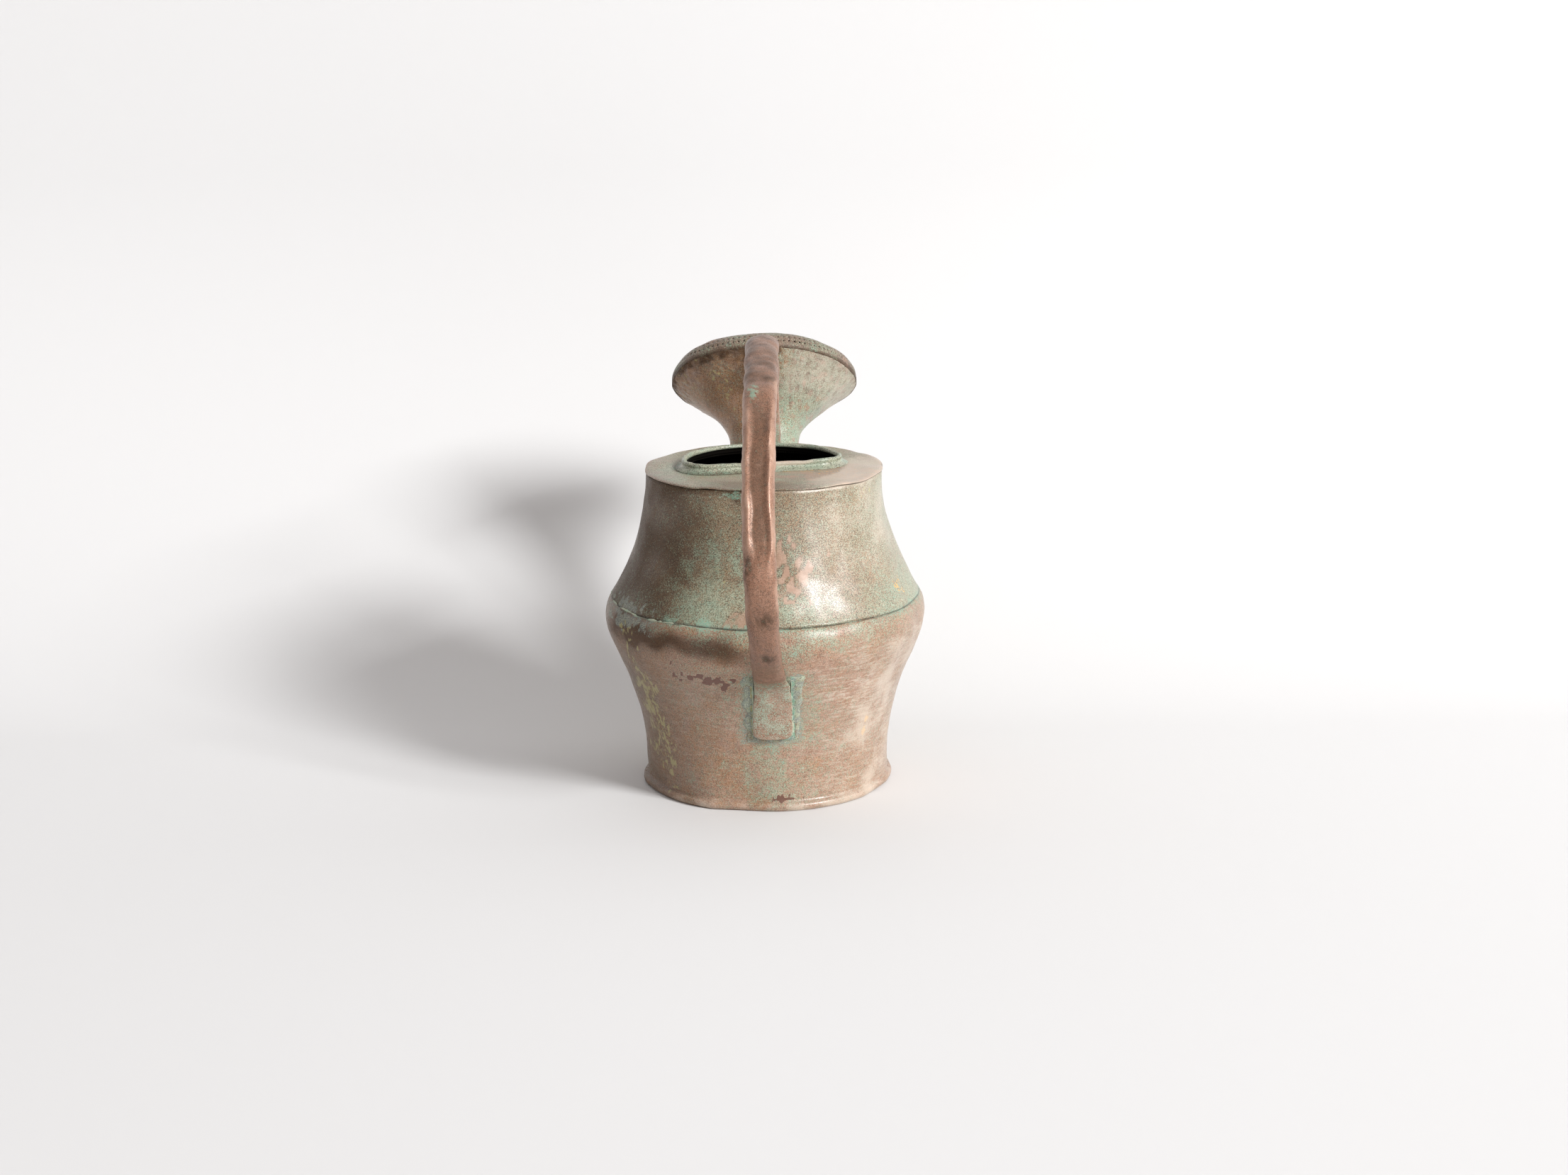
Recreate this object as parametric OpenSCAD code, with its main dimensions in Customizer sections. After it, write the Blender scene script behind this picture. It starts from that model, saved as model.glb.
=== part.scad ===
// Old copper watering can: a waisted body on a beaded foot, a flat shoulder with an off-round
// filler mouth, a hoop handle of flattened tube and a wide trumpet rose on an upturned spout.
// Z is up, the body's axis is the Z axis, the can stands on z = 0 and the spout points along +Y.

/* [Sheet and wire] */
// Thickness of the copper sheet
sheet_t = 1.5; // [1:0.1:2.2]
// Solder space left between lapped pieces
solder_gap = 0.05; // [0.02:0.01:0.2]
// Solder space left under the handle's two ends
handle_gap = 0.5; // [0.4:0.05:0.8]
// Radius of the wire rolled into the foot
foot_wire_r = 2.5; // [1.5:0.1:3.5]
// Radius of the wire rolled into the filler rim
rim_wire_r = 1.6; // [1:0.1:2.4]
// Depth worn flat on the underside of the foot bead
foot_wear = 0.3; // [0.1:0.05:0.8]

/* [Body] */
// Outer radius of the wall just above the foot
foot_r = 95.5; // [85:0.5:120]
// Largest outer radius, on the bulge
girth_r = 126.4; // [110:0.2:155]
// Height of the largest radius
girth_z = 138; // [115:1:160]
// Height of the seam between the two shells
seam_z = 152.5; // [140:0.5:175]
// How far the bulge has turned in where it meets the seam
seam_turn_in = 4.6; // [2:0.1:8]
// Outer radius of the upper shell at the shoulder
top_r = 93; // [80:0.5:115]
// Height of the shoulder's underside
shoulder_z = 252; // [230:1:300]
// Height of the lap inside the seam
lap_h = 8; // [4:0.5:12]
// Width of the flange that is turned in under the shoulder
flange_w = 6; // [4:0.5:10]
// Height of the recessed base above the floor
base_lift = 12; // [10:0.5:16]
// Depth of the flange turned down around the base
base_flange_h = 3.5; // [2.5:0.1:4]
// How far the shoulder stands over the upper shell
shoulder_lip = 0.6; // [0.2:0.1:2]

/* [Filler mouth] */
// Radius of the round part of the mouth
mouth_r = 60; // [48:0.5:66]
// Distance from the mouth's centre to its pushed-in lip
mouth_lip = 12; // [6:0.5:30]
// Radius of the corners beside the pushed-in lip
mouth_corner_r = 18; // [12:0.5:20]
// Turn of the pushed-in lip about the vertical
mouth_turn = 11; // [0:1:20]
// Offset of the mouth's centre along Y
mouth_y = -3; // [-6:0.5:4]
// Height of the rim's crest above the shoulder
rim_h = 7; // [6:0.1:12]
// Width of the skirt that spreads from the rim onto the shoulder
rim_skirt_w = 9; // [8:0.5:12]
// Radius of the larger split in the wall below the shoulder
split_r = 1.5; // [0.5:0.1:2]
// Direction of the larger split, measured from +X
split_angle = 106.5; // [100:0.5:112]
// Depth of the splits below the shoulder's underside
split_depth = 4.2; // [4:0.1:8]

/* [Handle] */
// Width of the tube across the can
handle_w = 24; // [18:0.5:30]
// Depth of the tube, in the plane of the hoop
handle_d = 18; // [14:0.5:24]
// Wall of the tube
handle_wall = 1.6; // [1.2:0.1:2.5]
// Width of the flattened tongue
tongue_w = 30; // [24:0.5:38]
// Thickness of the flattened tongue
tongue_t = 3.2; // [2.4:0.1:5]
// Height of the tongue's lower edge
tongue_z = 61.5; // [50:0.5:70]
// Length of the tongue, measured upward
tongue_h = 45; // [34:1:55]
// How far the handle's lower end sits off the centre plane
tongue_x = 5; // [-8:0.5:8]
// How far the hoop stands out behind the body's widest part
bow_reach = 63; // [50:1:90]
// Height of the hoop's crown above the shoulder
crown_h = 94; // [80:1:120]
// Depth of the collapsed channel down the outer face
channel_depth = 3; // [0:0.1:5]
// Thickness of the patch behind the tongue
patch_t = 1; // [0.6:0.1:2]
// Width of the patch
patch_w = 42; // [34:0.5:50]
// How far the patch shows below the tongue
patch_margin = 4; // [2:0.5:8]
// Height of the patch
patch_h = 58; // [50:1:72]

/* [Spout and rose] */
// Distance of the rose's rim from the body's axis
rose_y = 250; // [235:1:290]
// Height of the centre of the rose's rim
rose_z = 276; // [265:1:310]
// Elevation of the rose's axis above the horizontal
rose_tilt = 58; // [54:1:64]
// Radius of the rose's rim
rose_r = 78; // [60:0.5:90]
// Depth of the trumpet from rim to neck
trumpet_h = 60; // [50:1:70]
// Radius of the trumpet at its neck
neck_r = 29.5; // [27:0.5:33]
// Length of the sleeve below the neck
sleeve_h = 24; // [18:1:30]
// Radius of the sleeve where it grips the spout
sleeve_r = 25; // [23:0.5:26.5]
// Rise of the domed face above the rim
dome_h = 30; // [24:1:36]
// Radius of the knuckle between the face's edge and its cap
knuckle_r = 13; // [8:0.5:16]
// Depth of the lip that is turned down over the trumpet's rim
rose_lip_h = 3; // [2:0.5:5]
// Radius of the holes in the face
hole_r = 0.8; // [0.5:0.05:1.1]
// Distance between rings of holes, along the face
hole_ring_step = 7; // [6:0.1:10]
// Distance between holes along a ring
hole_step = 6.4; // [6:0.1:9]
// Bare margin between the outer ring of holes and the rim
hole_margin = 2; // [1:0.5:12]
// Distance of the spout's hidden start from the body's axis
spout_start_y = 60; // [50:1:70]
// Height of the spout's hidden start
spout_start_z = 18; // [14:1:24]
// Width of the ledge of body wall left inside the spout's root
spout_seat = 6; // [3:0.5:8]
// Outer radius of the spout where it meets the body
spout_root_r = 28; // [26:0.5:29]

/* [Hidden] */
$fn = 96;

copper = [0.52, 0.37, 0.29];
verdigris = [0.46, 0.56, 0.48];
olive = [0.47, 0.44, 0.36];
iron = [0.32, 0.22, 0.17];

// Curves
function bezier(a, b, c, d, steps) =
    [for (i = [0:steps]) let (t = i / steps, u = 1 - t)
        u * u * u * a + 3 * u * u * t * b + 3 * u * t * t * c + t * t * t * d];
function backwards(list) = [for (i = [len(list) - 1:-1:0]) list[i]];
function unit(v) = v / norm(v);
function direction(path, i) = unit(path[min(i + 1, len(path) - 1)] - path[max(i - 1, 0)]);
// A path of [radius, height] points moved to its left by a distance
function beside(path, gap) =
    [for (i = [0:len(path) - 1]) let (d = direction(path, i)) path[i] + gap * [-d[1], d[0]]];
function swap(path) = [for (p = path) [p[1], p[0]]];

// A skin over rings of points, from the first ring to the last, with a cap on each end
function skin(count, n, loops) = [for (i = [0:loops - 1], k = [0:n - 1])
    let (m = (k + 1) % n, j = (i + 1) % count)
    each [[i * n + k, i * n + m, j * n + m], [i * n + k, j * n + m, j * n + k]]];
module swept(rings) {
    n = len(rings[0]);
    last = len(rings) - 1;
    caps = [[for (k = [n - 1:-1:0]) k], [for (k = [0:n - 1]) last * n + k]];
    polyhedron([for (r = rings) each r], concat(skin(last + 1, n, last), caps), convexity = 6);
}
// The same skin closed on itself, with no caps
module swept_loop(rings) {
    polyhedron([for (r = rings) each r], skin(len(rings), len(rings[0]), len(rings)), convexity = 6);
}

// Body profiles, as [radius, height], on the outer surface
bead_r = foot_wire_r + sheet_t;
bead_z = bead_r - foot_wear;
bead_ring_r = foot_r + sheet_t - bead_r / 2;
wall_foot_z = bead_z + (foot_wire_r + bead_r) / 2;
seam_r = girth_r - seam_turn_in;
bulge_rise = seam_z - girth_z;
bulge_arc_r = (bulge_rise * bulge_rise + seam_turn_in * seam_turn_in) / (2 * seam_turn_in);
bulge_arc = asin(bulge_rise / bulge_arc_r);
flare = bezier([foot_r, wall_foot_z], [foot_r, 0.62 * girth_z], [girth_r, 0.81 * girth_z],
               [girth_r, girth_z], 14);
bulge = [for (i = [1:5]) let (a = bulge_arc * i / 5)
    [girth_r - bulge_arc_r * (1 - cos(a)), girth_z + bulge_arc_r * sin(a)]];
lower_profile = concat(flare, bulge);
upper_taper = 2.15;
upper_steps = 16;
upper_profile = [for (i = [0:upper_steps]) let (t = i / upper_steps)
    [top_r + (seam_r - top_r) * pow(1 - t, upper_taper), seam_z + (shoulder_z - seam_z) * t]];
function lower_r(z) = lookup(z, swap(lower_profile));
function upper_r(z, inset) = lookup(z, swap(beside(upper_profile, inset)));

// Lower shell: the wall, a joggled lap that goes up inside the seam, and the foot rolled round a wire
lap_gap = sheet_t + solder_gap;
lap = [for (z = [seam_z:2:seam_z + lap_h]) [upper_r(z, lap_gap), z]];
joggle_z = 4;

module revolved(outline) { rotate_extrude() polygon(outline); }
module ring(ring_r, z, wire_r) {
    translate([0, 0, z]) rotate_extrude() translate([ring_r, 0]) circle(wire_r, $fn = 32);
}

module body_solid(grow) {
    wall = concat(beside(lower_profile, -grow), beside(upper_profile, -grow));
    revolved(concat([[0, -spout_root_r], [wall[0][0], -spout_root_r]], wall, [[0, shoulder_z]]));
}

module lower_shell() color(olive) difference() {
    union() {
        inner_wall = [for (p = beside(lower_profile, sheet_t)) if (p[1] < seam_z - joggle_z) p];
        inner_lap = [for (p = lap) p - [sheet_t, 0]];
        revolved(concat(lower_profile, lap, backwards(inner_lap), backwards(inner_wall)));
        difference() {
            ring(bead_ring_r, bead_z, bead_r);
            ring(bead_ring_r, bead_z, foot_wire_r + solder_gap);
            translate([0, 0, -2 * bead_r]) cylinder(h = 2 * bead_r, r = 2 * foot_r);
        }
    }
    spout_bore();
}

module upper_shell() color(olive) difference() {
    inner = beside(upper_profile, sheet_t);
    under = shoulder_z - sheet_t;
    revolved(concat(upper_profile, [[top_r - flange_w, shoulder_z], [top_r - flange_w, under]],
                    backwards([for (p = inner) if (p[1] < under && p[1] >= seam_z) p]),
                    [[upper_r(seam_z, sheet_t), seam_z]]));
    split(split_angle, split_depth, split_r);
    split(split_angle + 1.3, split_depth - 0.6 * split_r, 0.7 * split_r);
    split(split_angle + 8, split_depth, 0.4 * split_r);
}

// A small hole torn through the wall below the shoulder
module split(angle, depth, r) {
    rotate([0, 0, angle]) translate([top_r - 2 * sheet_t, 0, shoulder_z - depth])
        rotate([0, 90, 0]) cylinder(h = 4 * sheet_t, r = r, $fn = 24);
}

module base_disc() color(iron) {
    disc_r = foot_r - sheet_t - solder_gap;
    flange_z = base_lift - base_flange_h;
    disc_top = base_lift + sheet_t;
    revolved([[0, base_lift], [disc_r - sheet_t, base_lift], [disc_r - sheet_t, flange_z],
              [disc_r, flange_z], [disc_r, disc_top], [0, disc_top]]);
}

module foot_wire() color(iron) ring(bead_ring_r, bead_z, foot_wire_r);

// Filler mouth: a circle with one side pushed in and its two corners rounded
corner_y = mouth_corner_r - mouth_lip;
corner_x = sqrt(pow(mouth_r - mouth_corner_r, 2) - corner_y * corner_y);
corner_angle = atan2(corner_y, corner_x);

module in_mouth_frame() {
    translate([0, mouth_y, shoulder_z + sheet_t]) rotate([0, 0, mouth_turn]) children();
}

// Stations round the mouth's edge: [centre x, centre y, radius, angle]
back_steps = 40;
corner_steps = 13;
corner_sweep = 90 + corner_angle;
mouth_stations = concat(
    [for (i = [0:back_steps]) let (sweep = 180 - 2 * corner_angle)
        [0, 0, mouth_r, corner_angle + sweep * i / back_steps]],
    [for (i = [1:corner_steps])
        [-corner_x, corner_y, mouth_corner_r, 180 - corner_angle + corner_sweep * i / corner_steps]],
    [for (i = [0:corner_steps - 1])
        [corner_x, corner_y, mouth_corner_r, 270 + corner_sweep * i / corner_steps]]);
function mouth_point(m, out) = [m[0] + (m[2] + out) * cos(m[3]), m[1] + (m[2] + out) * sin(m[3])];

// Sweeps a section of [distance outward from the mouth's edge, height] round the mouth
module round_mouth(section) {
    swept_loop([for (m = mouth_stations) [for (p = section) [each mouth_point(m, p[0]), p[1]]]]);
}
function circle_points(r, from, to, steps) =
    [for (i = [0:steps]) let (a = from + (to - from) * i / steps)
        [rim_bead_r + r * cos(a), rim_h - rim_bead_r + r * sin(a)]];

module shoulder_plate() color(copper) difference() {
    translate([0, 0, shoulder_z]) cylinder(h = sheet_t, r = top_r + shoulder_lip);
    in_mouth_frame() translate([0, 0, -2 * sheet_t]) linear_extrude(height = 3 * sheet_t)
        polygon([for (m = mouth_stations) mouth_point(m, rim_bead_r)]);
}

// Filler collar: a bead rolled round the wire, with a skirt that spreads onto the shoulder
rim_bead_r = rim_wire_r + 0.9 * sheet_t;
wire_sides = 10;
rim_section = concat(
    [[rim_bead_r, solder_gap], [rim_skirt_w, solder_gap]],
    backwards(bezier([2 * rim_bead_r - 0.2, rim_h - rim_bead_r], [2 * rim_bead_r, 1.6],
                     [rim_skirt_w - 2, 0.9], [rim_skirt_w, 0.3], 5)),
    circle_points(rim_bead_r, 15, 270, 14));
module filler_collar() color(verdigris) in_mouth_frame() difference() {
    round_mouth(rim_section);
    round_mouth(circle_points(rim_wire_r + solder_gap, 0, 360 - 360 / wire_sides, wire_sides - 1));
}

module rim_wire() color(iron) in_mouth_frame()
    round_mouth(circle_points(rim_wire_r, 0, 360 - 360 / wire_sides, wire_sides - 1));

// Handle: rings of a rounded-rectangle section along a hoop in the YZ plane.
// Each station is [y, z, x, width, depth, wrap, channel], with wrap 1 where it hugs the shell.
seat = patch_t + solder_gap + handle_gap;
tongue_mid = tongue_z + 0.5 * tongue_h;
tongue_top = tongue_z + tongue_h;
function on_shell(z) = -(lower_r(z) + seat + tongue_t / 2);
shoulder_top = shoulder_z + sheet_t;
crown_z = shoulder_top + crown_h;
bow_y = -(girth_r + bow_reach);
far_y = (mouth_r + mouth_y + rim_skirt_w + top_r + shoulder_lip + 4) / 2;
stations = [
    [on_shell(tongue_z), tongue_z, tongue_x, tongue_w, tongue_t, 1, 0],
    [on_shell(tongue_mid), tongue_mid, tongue_x, tongue_w, tongue_t, 1, 0],
    [on_shell(tongue_top) - 1, tongue_top, tongue_x, tongue_w - 3, tongue_t + 1.5, 0.8, 0],
    [-(girth_r + 12), tongue_top + 19, tongue_x - 3, handle_w - 1, 0.75 * handle_d, 0, 0],
    [bow_y + 22, tongue_top + 42, 0.5, handle_w - 1.5, 0.95 * handle_d, 0, 0],
    [bow_y + 2, seam_z + 32, -1.5, handle_w, handle_d, 0, 0.4],
    [bow_y, shoulder_z - 36, -2.5, handle_w, handle_d, 0, 1],
    [bow_y + 19, shoulder_z + 18, -3, handle_w, handle_d, 0, 1],
    [bow_y + 62, crown_z - 29, -1.5, handle_w + 1, handle_d, 0, 0.3],
    [bow_y + 124, crown_z - 8, -0.5, handle_w + 1.5, handle_d, 0, 0],
    [5, crown_z - 0.5, 0, handle_w + 1.5, handle_d, 0, 0],
    [far_y - 28, crown_z - 13, 1, handle_w, handle_d, 0, 0],
    [far_y, crown_z - 50, 2, handle_w - 2, 0.9 * handle_d, 0, 0],
    [far_y, shoulder_top + handle_gap, 2, handle_w - 1, 0.85 * handle_d, 0, 0]];

// Catmull-Rom curve through a list of stations
function blend4(a, b, c, d, t) =
    0.5 * (2 * b + (c - a) * t + (2 * a - 5 * b + 4 * c - d) * t * t +
           (3 * b - a - 3 * c + d) * t * t * t);
function through(list, steps) = let (n = len(list))
    [for (i = [0:n - 2], k = [0:steps - 1])
        blend4(list[max(i - 1, 0)], list[i], list[i + 1], list[min(i + 2, n - 1)], k / steps), list[n - 1]];
handle_steps = 4;
ring_n = 24;
hoop = through(stations, handle_steps);
function superellipse(a, w, d, power) =
    [w / 2 * sign(cos(a)) * pow(abs(cos(a)), power), d / 2 * sign(sin(a)) * pow(abs(sin(a)), power)];
function hoop_ring(i, inset) = let (
        s = hoop[i],
        d = i == len(hoop) - 1 ? [0, -1] : direction([for (p = hoop) [p[0], p[1]]], i),
        hug_r = lower_r(min(s[1], girth_z)) + seat,
        clear = s[5] * min(0, -hug_r - s[4] / 2 - s[0]))
    [for (k = [0:ring_n - 1]) let (
        a = 360 * k / ring_n,
        q = superellipse(a, s[3] - 2 * inset, s[4] - 2 * inset, 0.75),
        dent = channel_depth * s[6] * exp(-pow(q[0] / (0.24 * s[3]), 4)) * max(0, sin(a)),
        wrap = s[5] * (hug_r - sqrt(hug_r * hug_r - q[0] * q[0])))
        [s[2] + q[0], s[0] + clear - d[1] * (q[1] - dent) + wrap, s[1] + d[0] * (q[1] - dent)]];
hollow_from = 3 * handle_steps;
module handle_tube() color(copper) difference() {
    swept([for (i = [0:len(hoop) - 1]) hoop_ring(i, 0)]);
    swept(concat([for (i = [hollow_from:len(hoop) - 1]) hoop_ring(i, handle_wall)],
                 [[for (p = hoop_ring(len(hoop) - 1, handle_wall)) p - [0, 0, 1]]]));
}

module handle_patch() color(verdigris) intersection() {
    difference() {
        body_solid(solder_gap + patch_t);
        body_solid(solder_gap);
    }
    translate([tongue_x - patch_w / 2, -2 * girth_r, tongue_z - patch_margin])
        cube([patch_w, 2 * girth_r, patch_h]);
}

// Spout and rose. Along the rose's axis, distances run from the centre of its rim.
module in_rose_frame() { translate([0, rose_y, rose_z]) rotate([rose_tilt - 90, 0, 0]) children(); }

trumpet_profile = bezier([neck_r, -trumpet_h], [neck_r + 0.5, -0.53 * trumpet_h],
                         [rose_r - 14.5, -0.33 * trumpet_h], [rose_r, 0], 14);
sleeve_profile = bezier([sleeve_r, -trumpet_h - sleeve_h], [sleeve_r + 0.2, -trumpet_h - sleeve_h / 2],
                        [neck_r - 0.6, -trumpet_h - sleeve_h / 3], [neck_r, -trumpet_h], 6);
trumpet_wall = concat(sleeve_profile, [for (i = [1:len(trumpet_profile) - 1]) trumpet_profile[i]]);

module rose_trumpet() color(verdigris) in_rose_frame()
    revolved(concat(trumpet_wall, backwards(beside(trumpet_wall, sheet_t))));

// Domed face: a shallow cap and a tight knuckle, with its edge turned down over the trumpet's rim
lip_r = rose_r + solder_gap;
face_r = lip_r + sheet_t;
knuckle_x = face_r - knuckle_r;
cap_r = (knuckle_x * knuckle_x + dome_h * dome_h - knuckle_r * knuckle_r) / (2 * (dome_h - knuckle_r));
cap_z = dome_h - cap_r;
cap_edge = knuckle_x * cap_r / (cap_r - knuckle_r);
knuckle_turn = atan2(-cap_z, knuckle_x);

// Half-section under the face: a shallow cap that runs into a tight knuckle
module dome_area(inset) {
    far = 2 * cap_r;
    to_joint = far * [cos(knuckle_turn), sin(knuckle_turn)];
    knuckle = [knuckle_x, 0];
    intersection() {
        translate([0, cap_z]) circle(cap_r - inset, $fn = 240);
        polygon([[0, 0], knuckle, knuckle + to_joint, [0, far]]);
    }
    intersection() {
        translate(knuckle) circle(knuckle_r - inset, $fn = 64);
        polygon([knuckle, [far, 0], [far, far], knuckle + to_joint]);
    }
}

module rose_face() color(copper) in_rose_frame() difference() {
    rotate_extrude() {
        difference() {
            dome_area(0);
            dome_area(sheet_t);
        }
        translate([lip_r, -rose_lip_h]) square([sheet_t, rose_lip_h + solder_gap]);
    }
    rings = floor((cap_edge - hole_margin) / hole_ring_step);
    for (k = [0:rings]) let (r = k * hole_ring_step, n = max(1, floor(2 * PI * r / hole_step)))
        for (j = [0:n - 1]) rotate([0, 0, 360 * (j + 0.5 * (k % 2)) / n])
            translate([r, 0, 0]) cylinder(h = 2 * dome_h, r = hole_r, $fn = 6);
}

// Spout: round rings along a curve from inside the body to the rose's sleeve
waist_r = sleeve_r - sheet_t - solder_gap;
sleeve_grip = 14;
grip_s = -trumpet_h - sleeve_h;
up_rose = [cos(rose_tilt), sin(rose_tilt)];
grip = [rose_y, rose_z] + grip_s * up_rose;
spout_end = grip + sleeve_grip * up_rose;
root = [spout_start_y, spout_start_z];
chord = grip - root;
root_tilt = 2 * atan2(chord[1], chord[0]) - rose_tilt;
up_root = [cos(root_tilt), sin(root_tilt)];
pull = norm(chord) / 3;
spout_path = concat(bezier(root, root + pull * up_root, grip - pull * up_rose, grip, 12), [spout_end]);
spout_steps = len(spout_path) - 1;
function spout_r(i) = waist_r + (spout_root_r - waist_r) * pow(max(0, 1 - i / (spout_steps - 1)), 1.2);
function round_ring(centre, d, r) =
    [for (k = [0:ring_n - 1]) let (a = 360 * k / ring_n)
        [r * cos(a), centre[0] - d[1] * r * sin(a), centre[1] + d[0] * r * sin(a)]];
function spout_rings(inset, overrun) =
    [for (i = [0:spout_steps]) let (d = direction(spout_path, i),
        centre = spout_path[i] + (i == spout_steps ? overrun : i == 0 ? -overrun : 0) * d)
        round_ring(centre, d, spout_r(i) - inset)];
module spout_tube() color(verdigris) difference() {
    swept(spout_rings(0, 0));
    swept(spout_rings(sheet_t, 1));
    body_solid(solder_gap);
}
module spout_bore() { swept([for (i = [0:4]) spout_rings(spout_seat, 0)[i]]); }

lower_shell();
upper_shell();
base_disc();
foot_wire();
shoulder_plate();
filler_collar();
rim_wire();
handle_tube();
handle_patch();
spout_tube();
rose_trumpet();
rose_face();
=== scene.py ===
"""The looks of an old copper watering can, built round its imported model."""
import math

import bmesh
import bpy
import numpy as np
from mathutils import Matrix, Vector
from mathutils.kdtree import KDTree
from mathutils.geometry import delaunay_2d_cdt


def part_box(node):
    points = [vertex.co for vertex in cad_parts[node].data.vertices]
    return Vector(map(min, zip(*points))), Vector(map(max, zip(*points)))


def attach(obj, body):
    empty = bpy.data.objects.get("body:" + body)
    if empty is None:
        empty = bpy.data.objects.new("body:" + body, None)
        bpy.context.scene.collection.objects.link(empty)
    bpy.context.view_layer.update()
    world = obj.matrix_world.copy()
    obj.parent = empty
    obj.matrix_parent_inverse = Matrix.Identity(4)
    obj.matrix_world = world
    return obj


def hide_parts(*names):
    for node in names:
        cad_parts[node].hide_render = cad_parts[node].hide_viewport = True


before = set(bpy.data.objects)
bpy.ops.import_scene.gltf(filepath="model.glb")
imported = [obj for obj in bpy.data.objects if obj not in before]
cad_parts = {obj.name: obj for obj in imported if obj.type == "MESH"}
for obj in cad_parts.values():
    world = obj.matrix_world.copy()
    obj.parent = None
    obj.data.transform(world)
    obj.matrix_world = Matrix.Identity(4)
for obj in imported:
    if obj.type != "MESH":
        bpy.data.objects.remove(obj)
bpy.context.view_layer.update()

# Lengths in this file are millimetres; a mesh is turned into metres when it is made.
MM = 0.001
rng = np.random.default_rng(7)


def extent(node):
    """Lowest and highest corner of a node, in millimetres."""
    low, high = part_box(node)
    return np.array(low) / MM, np.array(high) / MM


# Sizes from the frame
GIRTH_R = extent("lower_shell")[1][0]
SEAM_Z = extent("upper_shell")[0][2]
SHOULDER_Z, PLATE_TOP = extent("shoulder_plate")[0][2], extent("shoulder_plate")[1][2]
PLATE_R = extent("shoulder_plate")[1][0]
BASE_Z = extent("base_disc")[1][2]
SHEET = PLATE_TOP - SHOULDER_Z

# Sizes that the frame doesn't give directly, the same as the CAD model's
FOOT_R = 95.5
GIRTH_Z = 138
SEAM_TURN_IN = 4.6
TOP_R = PLATE_R - 0.6
BEAD_R = 4
BEAD_Z = 3.7
BEAD_RING_R = FOOT_R + SHEET - BEAD_R / 2
WALL_FOOT_Z = BEAD_Z + (BEAD_R + 2.5) / 2
FLANGE_W = 6
LAP_H = 8
UPPER_TAPER = 2.15
MOUTH_R, MOUTH_LIP, MOUTH_CORNER_R = 60, 12, 18
MOUTH_TURN, MOUTH_Y = math.radians(11), -3
RIM_H, RIM_BEAD_R, RIM_SKIRT_W = 7, 2.95, 9
ROLL_R = 1.9
ROSE_Y, ROSE_Z, ROSE_TILT = 250, 276, math.radians(58)
ROSE_R, TRUMPET_H, NECK_R, SLEEVE_H, SLEEVE_R = 78, 60, 29.5, 24, 25
DOME_H, KNUCKLE_R, ROSE_LIP_H = 30, 13, 3
ROOT_Y, ROOT_Z, SPOUT_ROOT_R = 60, 18, 28


# ---------------------------------------------------------------- numbers and curves

def smooth(x, low=0.0, high=1.0):
    """A smooth step from 0 at low to 1 at high. It falls where high is the lower one."""
    t = np.clip((x - low) / (high - low), 0, 1)
    return t * t * (3 - 2 * t)


def hump(x, middle, wide):
    """1 at the middle, falling off to both sides."""
    return np.exp(-((x - middle) / wide) ** 2)


def unit(v):
    return v / np.linalg.norm(v, axis=-1, keepdims=True)


def circle(count):
    """Angles of evenly spaced points round a circle."""
    return np.linspace(0, 2 * math.pi, count, endpoint=False)


def squarish(a, power):
    """Across and outward places round a circle that is squared off, more so at a lower power."""
    return [np.sign(f(a)) * np.abs(f(a)) ** power for f in (np.cos, np.sin)]


def lumps(points, size, seed, waves=14):
    """Smooth noise of about -1 to 1 whose bumps are about size across."""
    r = np.random.default_rng(seed)
    way = unit(r.normal(size=(waves, 3)))
    reach = 2 * math.pi / (size * r.uniform(0.7, 1.6, waves))
    phase = r.uniform(0, 2 * math.pi, waves)
    return np.sin(points @ (way * reach[:, None]).T + phase).sum(1) / math.sqrt(waves / 2)


def bezier(a, b, c, d, steps):
    a, b, c, d = (np.array(p, float) for p in (a, b, c, d))
    t = np.linspace(0, 1, steps + 1)[:, None]
    u = 1 - t
    return u ** 3 * a + 3 * u * u * t * b + 3 * u * t * t * c + t ** 3 * d


def arc(centre, radius, start, end, steps):
    a = np.radians(np.linspace(start, end, steps + 1))
    return np.stack([centre[0] + radius * np.cos(a), centre[1] + radius * np.sin(a)], 1)


def beside(path, gap):
    """A path moved to its left."""
    d = unit(np.gradient(path, axis=0))
    return path + gap * np.stack([-d[:, 1], d[:, 0]], 1)


def spaced(path, step):
    """The same path with a point about every step."""
    s = np.concatenate([[0], np.cumsum(np.linalg.norm(np.diff(path, axis=0), axis=1))])
    t = np.linspace(0, s[-1], max(2, round(s[-1] / step) + 1))
    return np.stack([np.interp(t, s, path[:, k]) for k in range(path.shape[1])], 1)


def closed(outline, step):
    """A closed outline with a point about every step."""
    return spaced(np.concatenate([outline, outline[:1]]), step)[:-1]


# ---------------------------------------------------------------- meshes

def piece(name, points, faces, slot, *nodes):
    """A smooth mesh from points in millimetres, riding on the can and standing for CAD nodes."""
    mesh = bpy.data.meshes.new(name)
    mesh.from_pydata((np.asarray(points, float) * MM).tolist(), [], faces)
    mesh.update()
    mesh.polygons.foreach_set("use_smooth", [True] * len(mesh.polygons))
    obj = bpy.data.objects.new(name, mesh)
    bpy.context.scene.collection.objects.link(obj)
    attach(obj, "root")
    if nodes:
        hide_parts(*nodes)
    return obj


def grid_faces(n, m, loop_n, loop_m):
    i = np.arange(n if loop_n else n - 1)[:, None]
    j = np.arange(m if loop_m else m - 1)[None, :]
    k, l = (i + 1) % n, (j + 1) % m
    return np.stack([i * m + j, i * m + l, k * m + l, k * m + j], -1).reshape(-1, 4)


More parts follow.
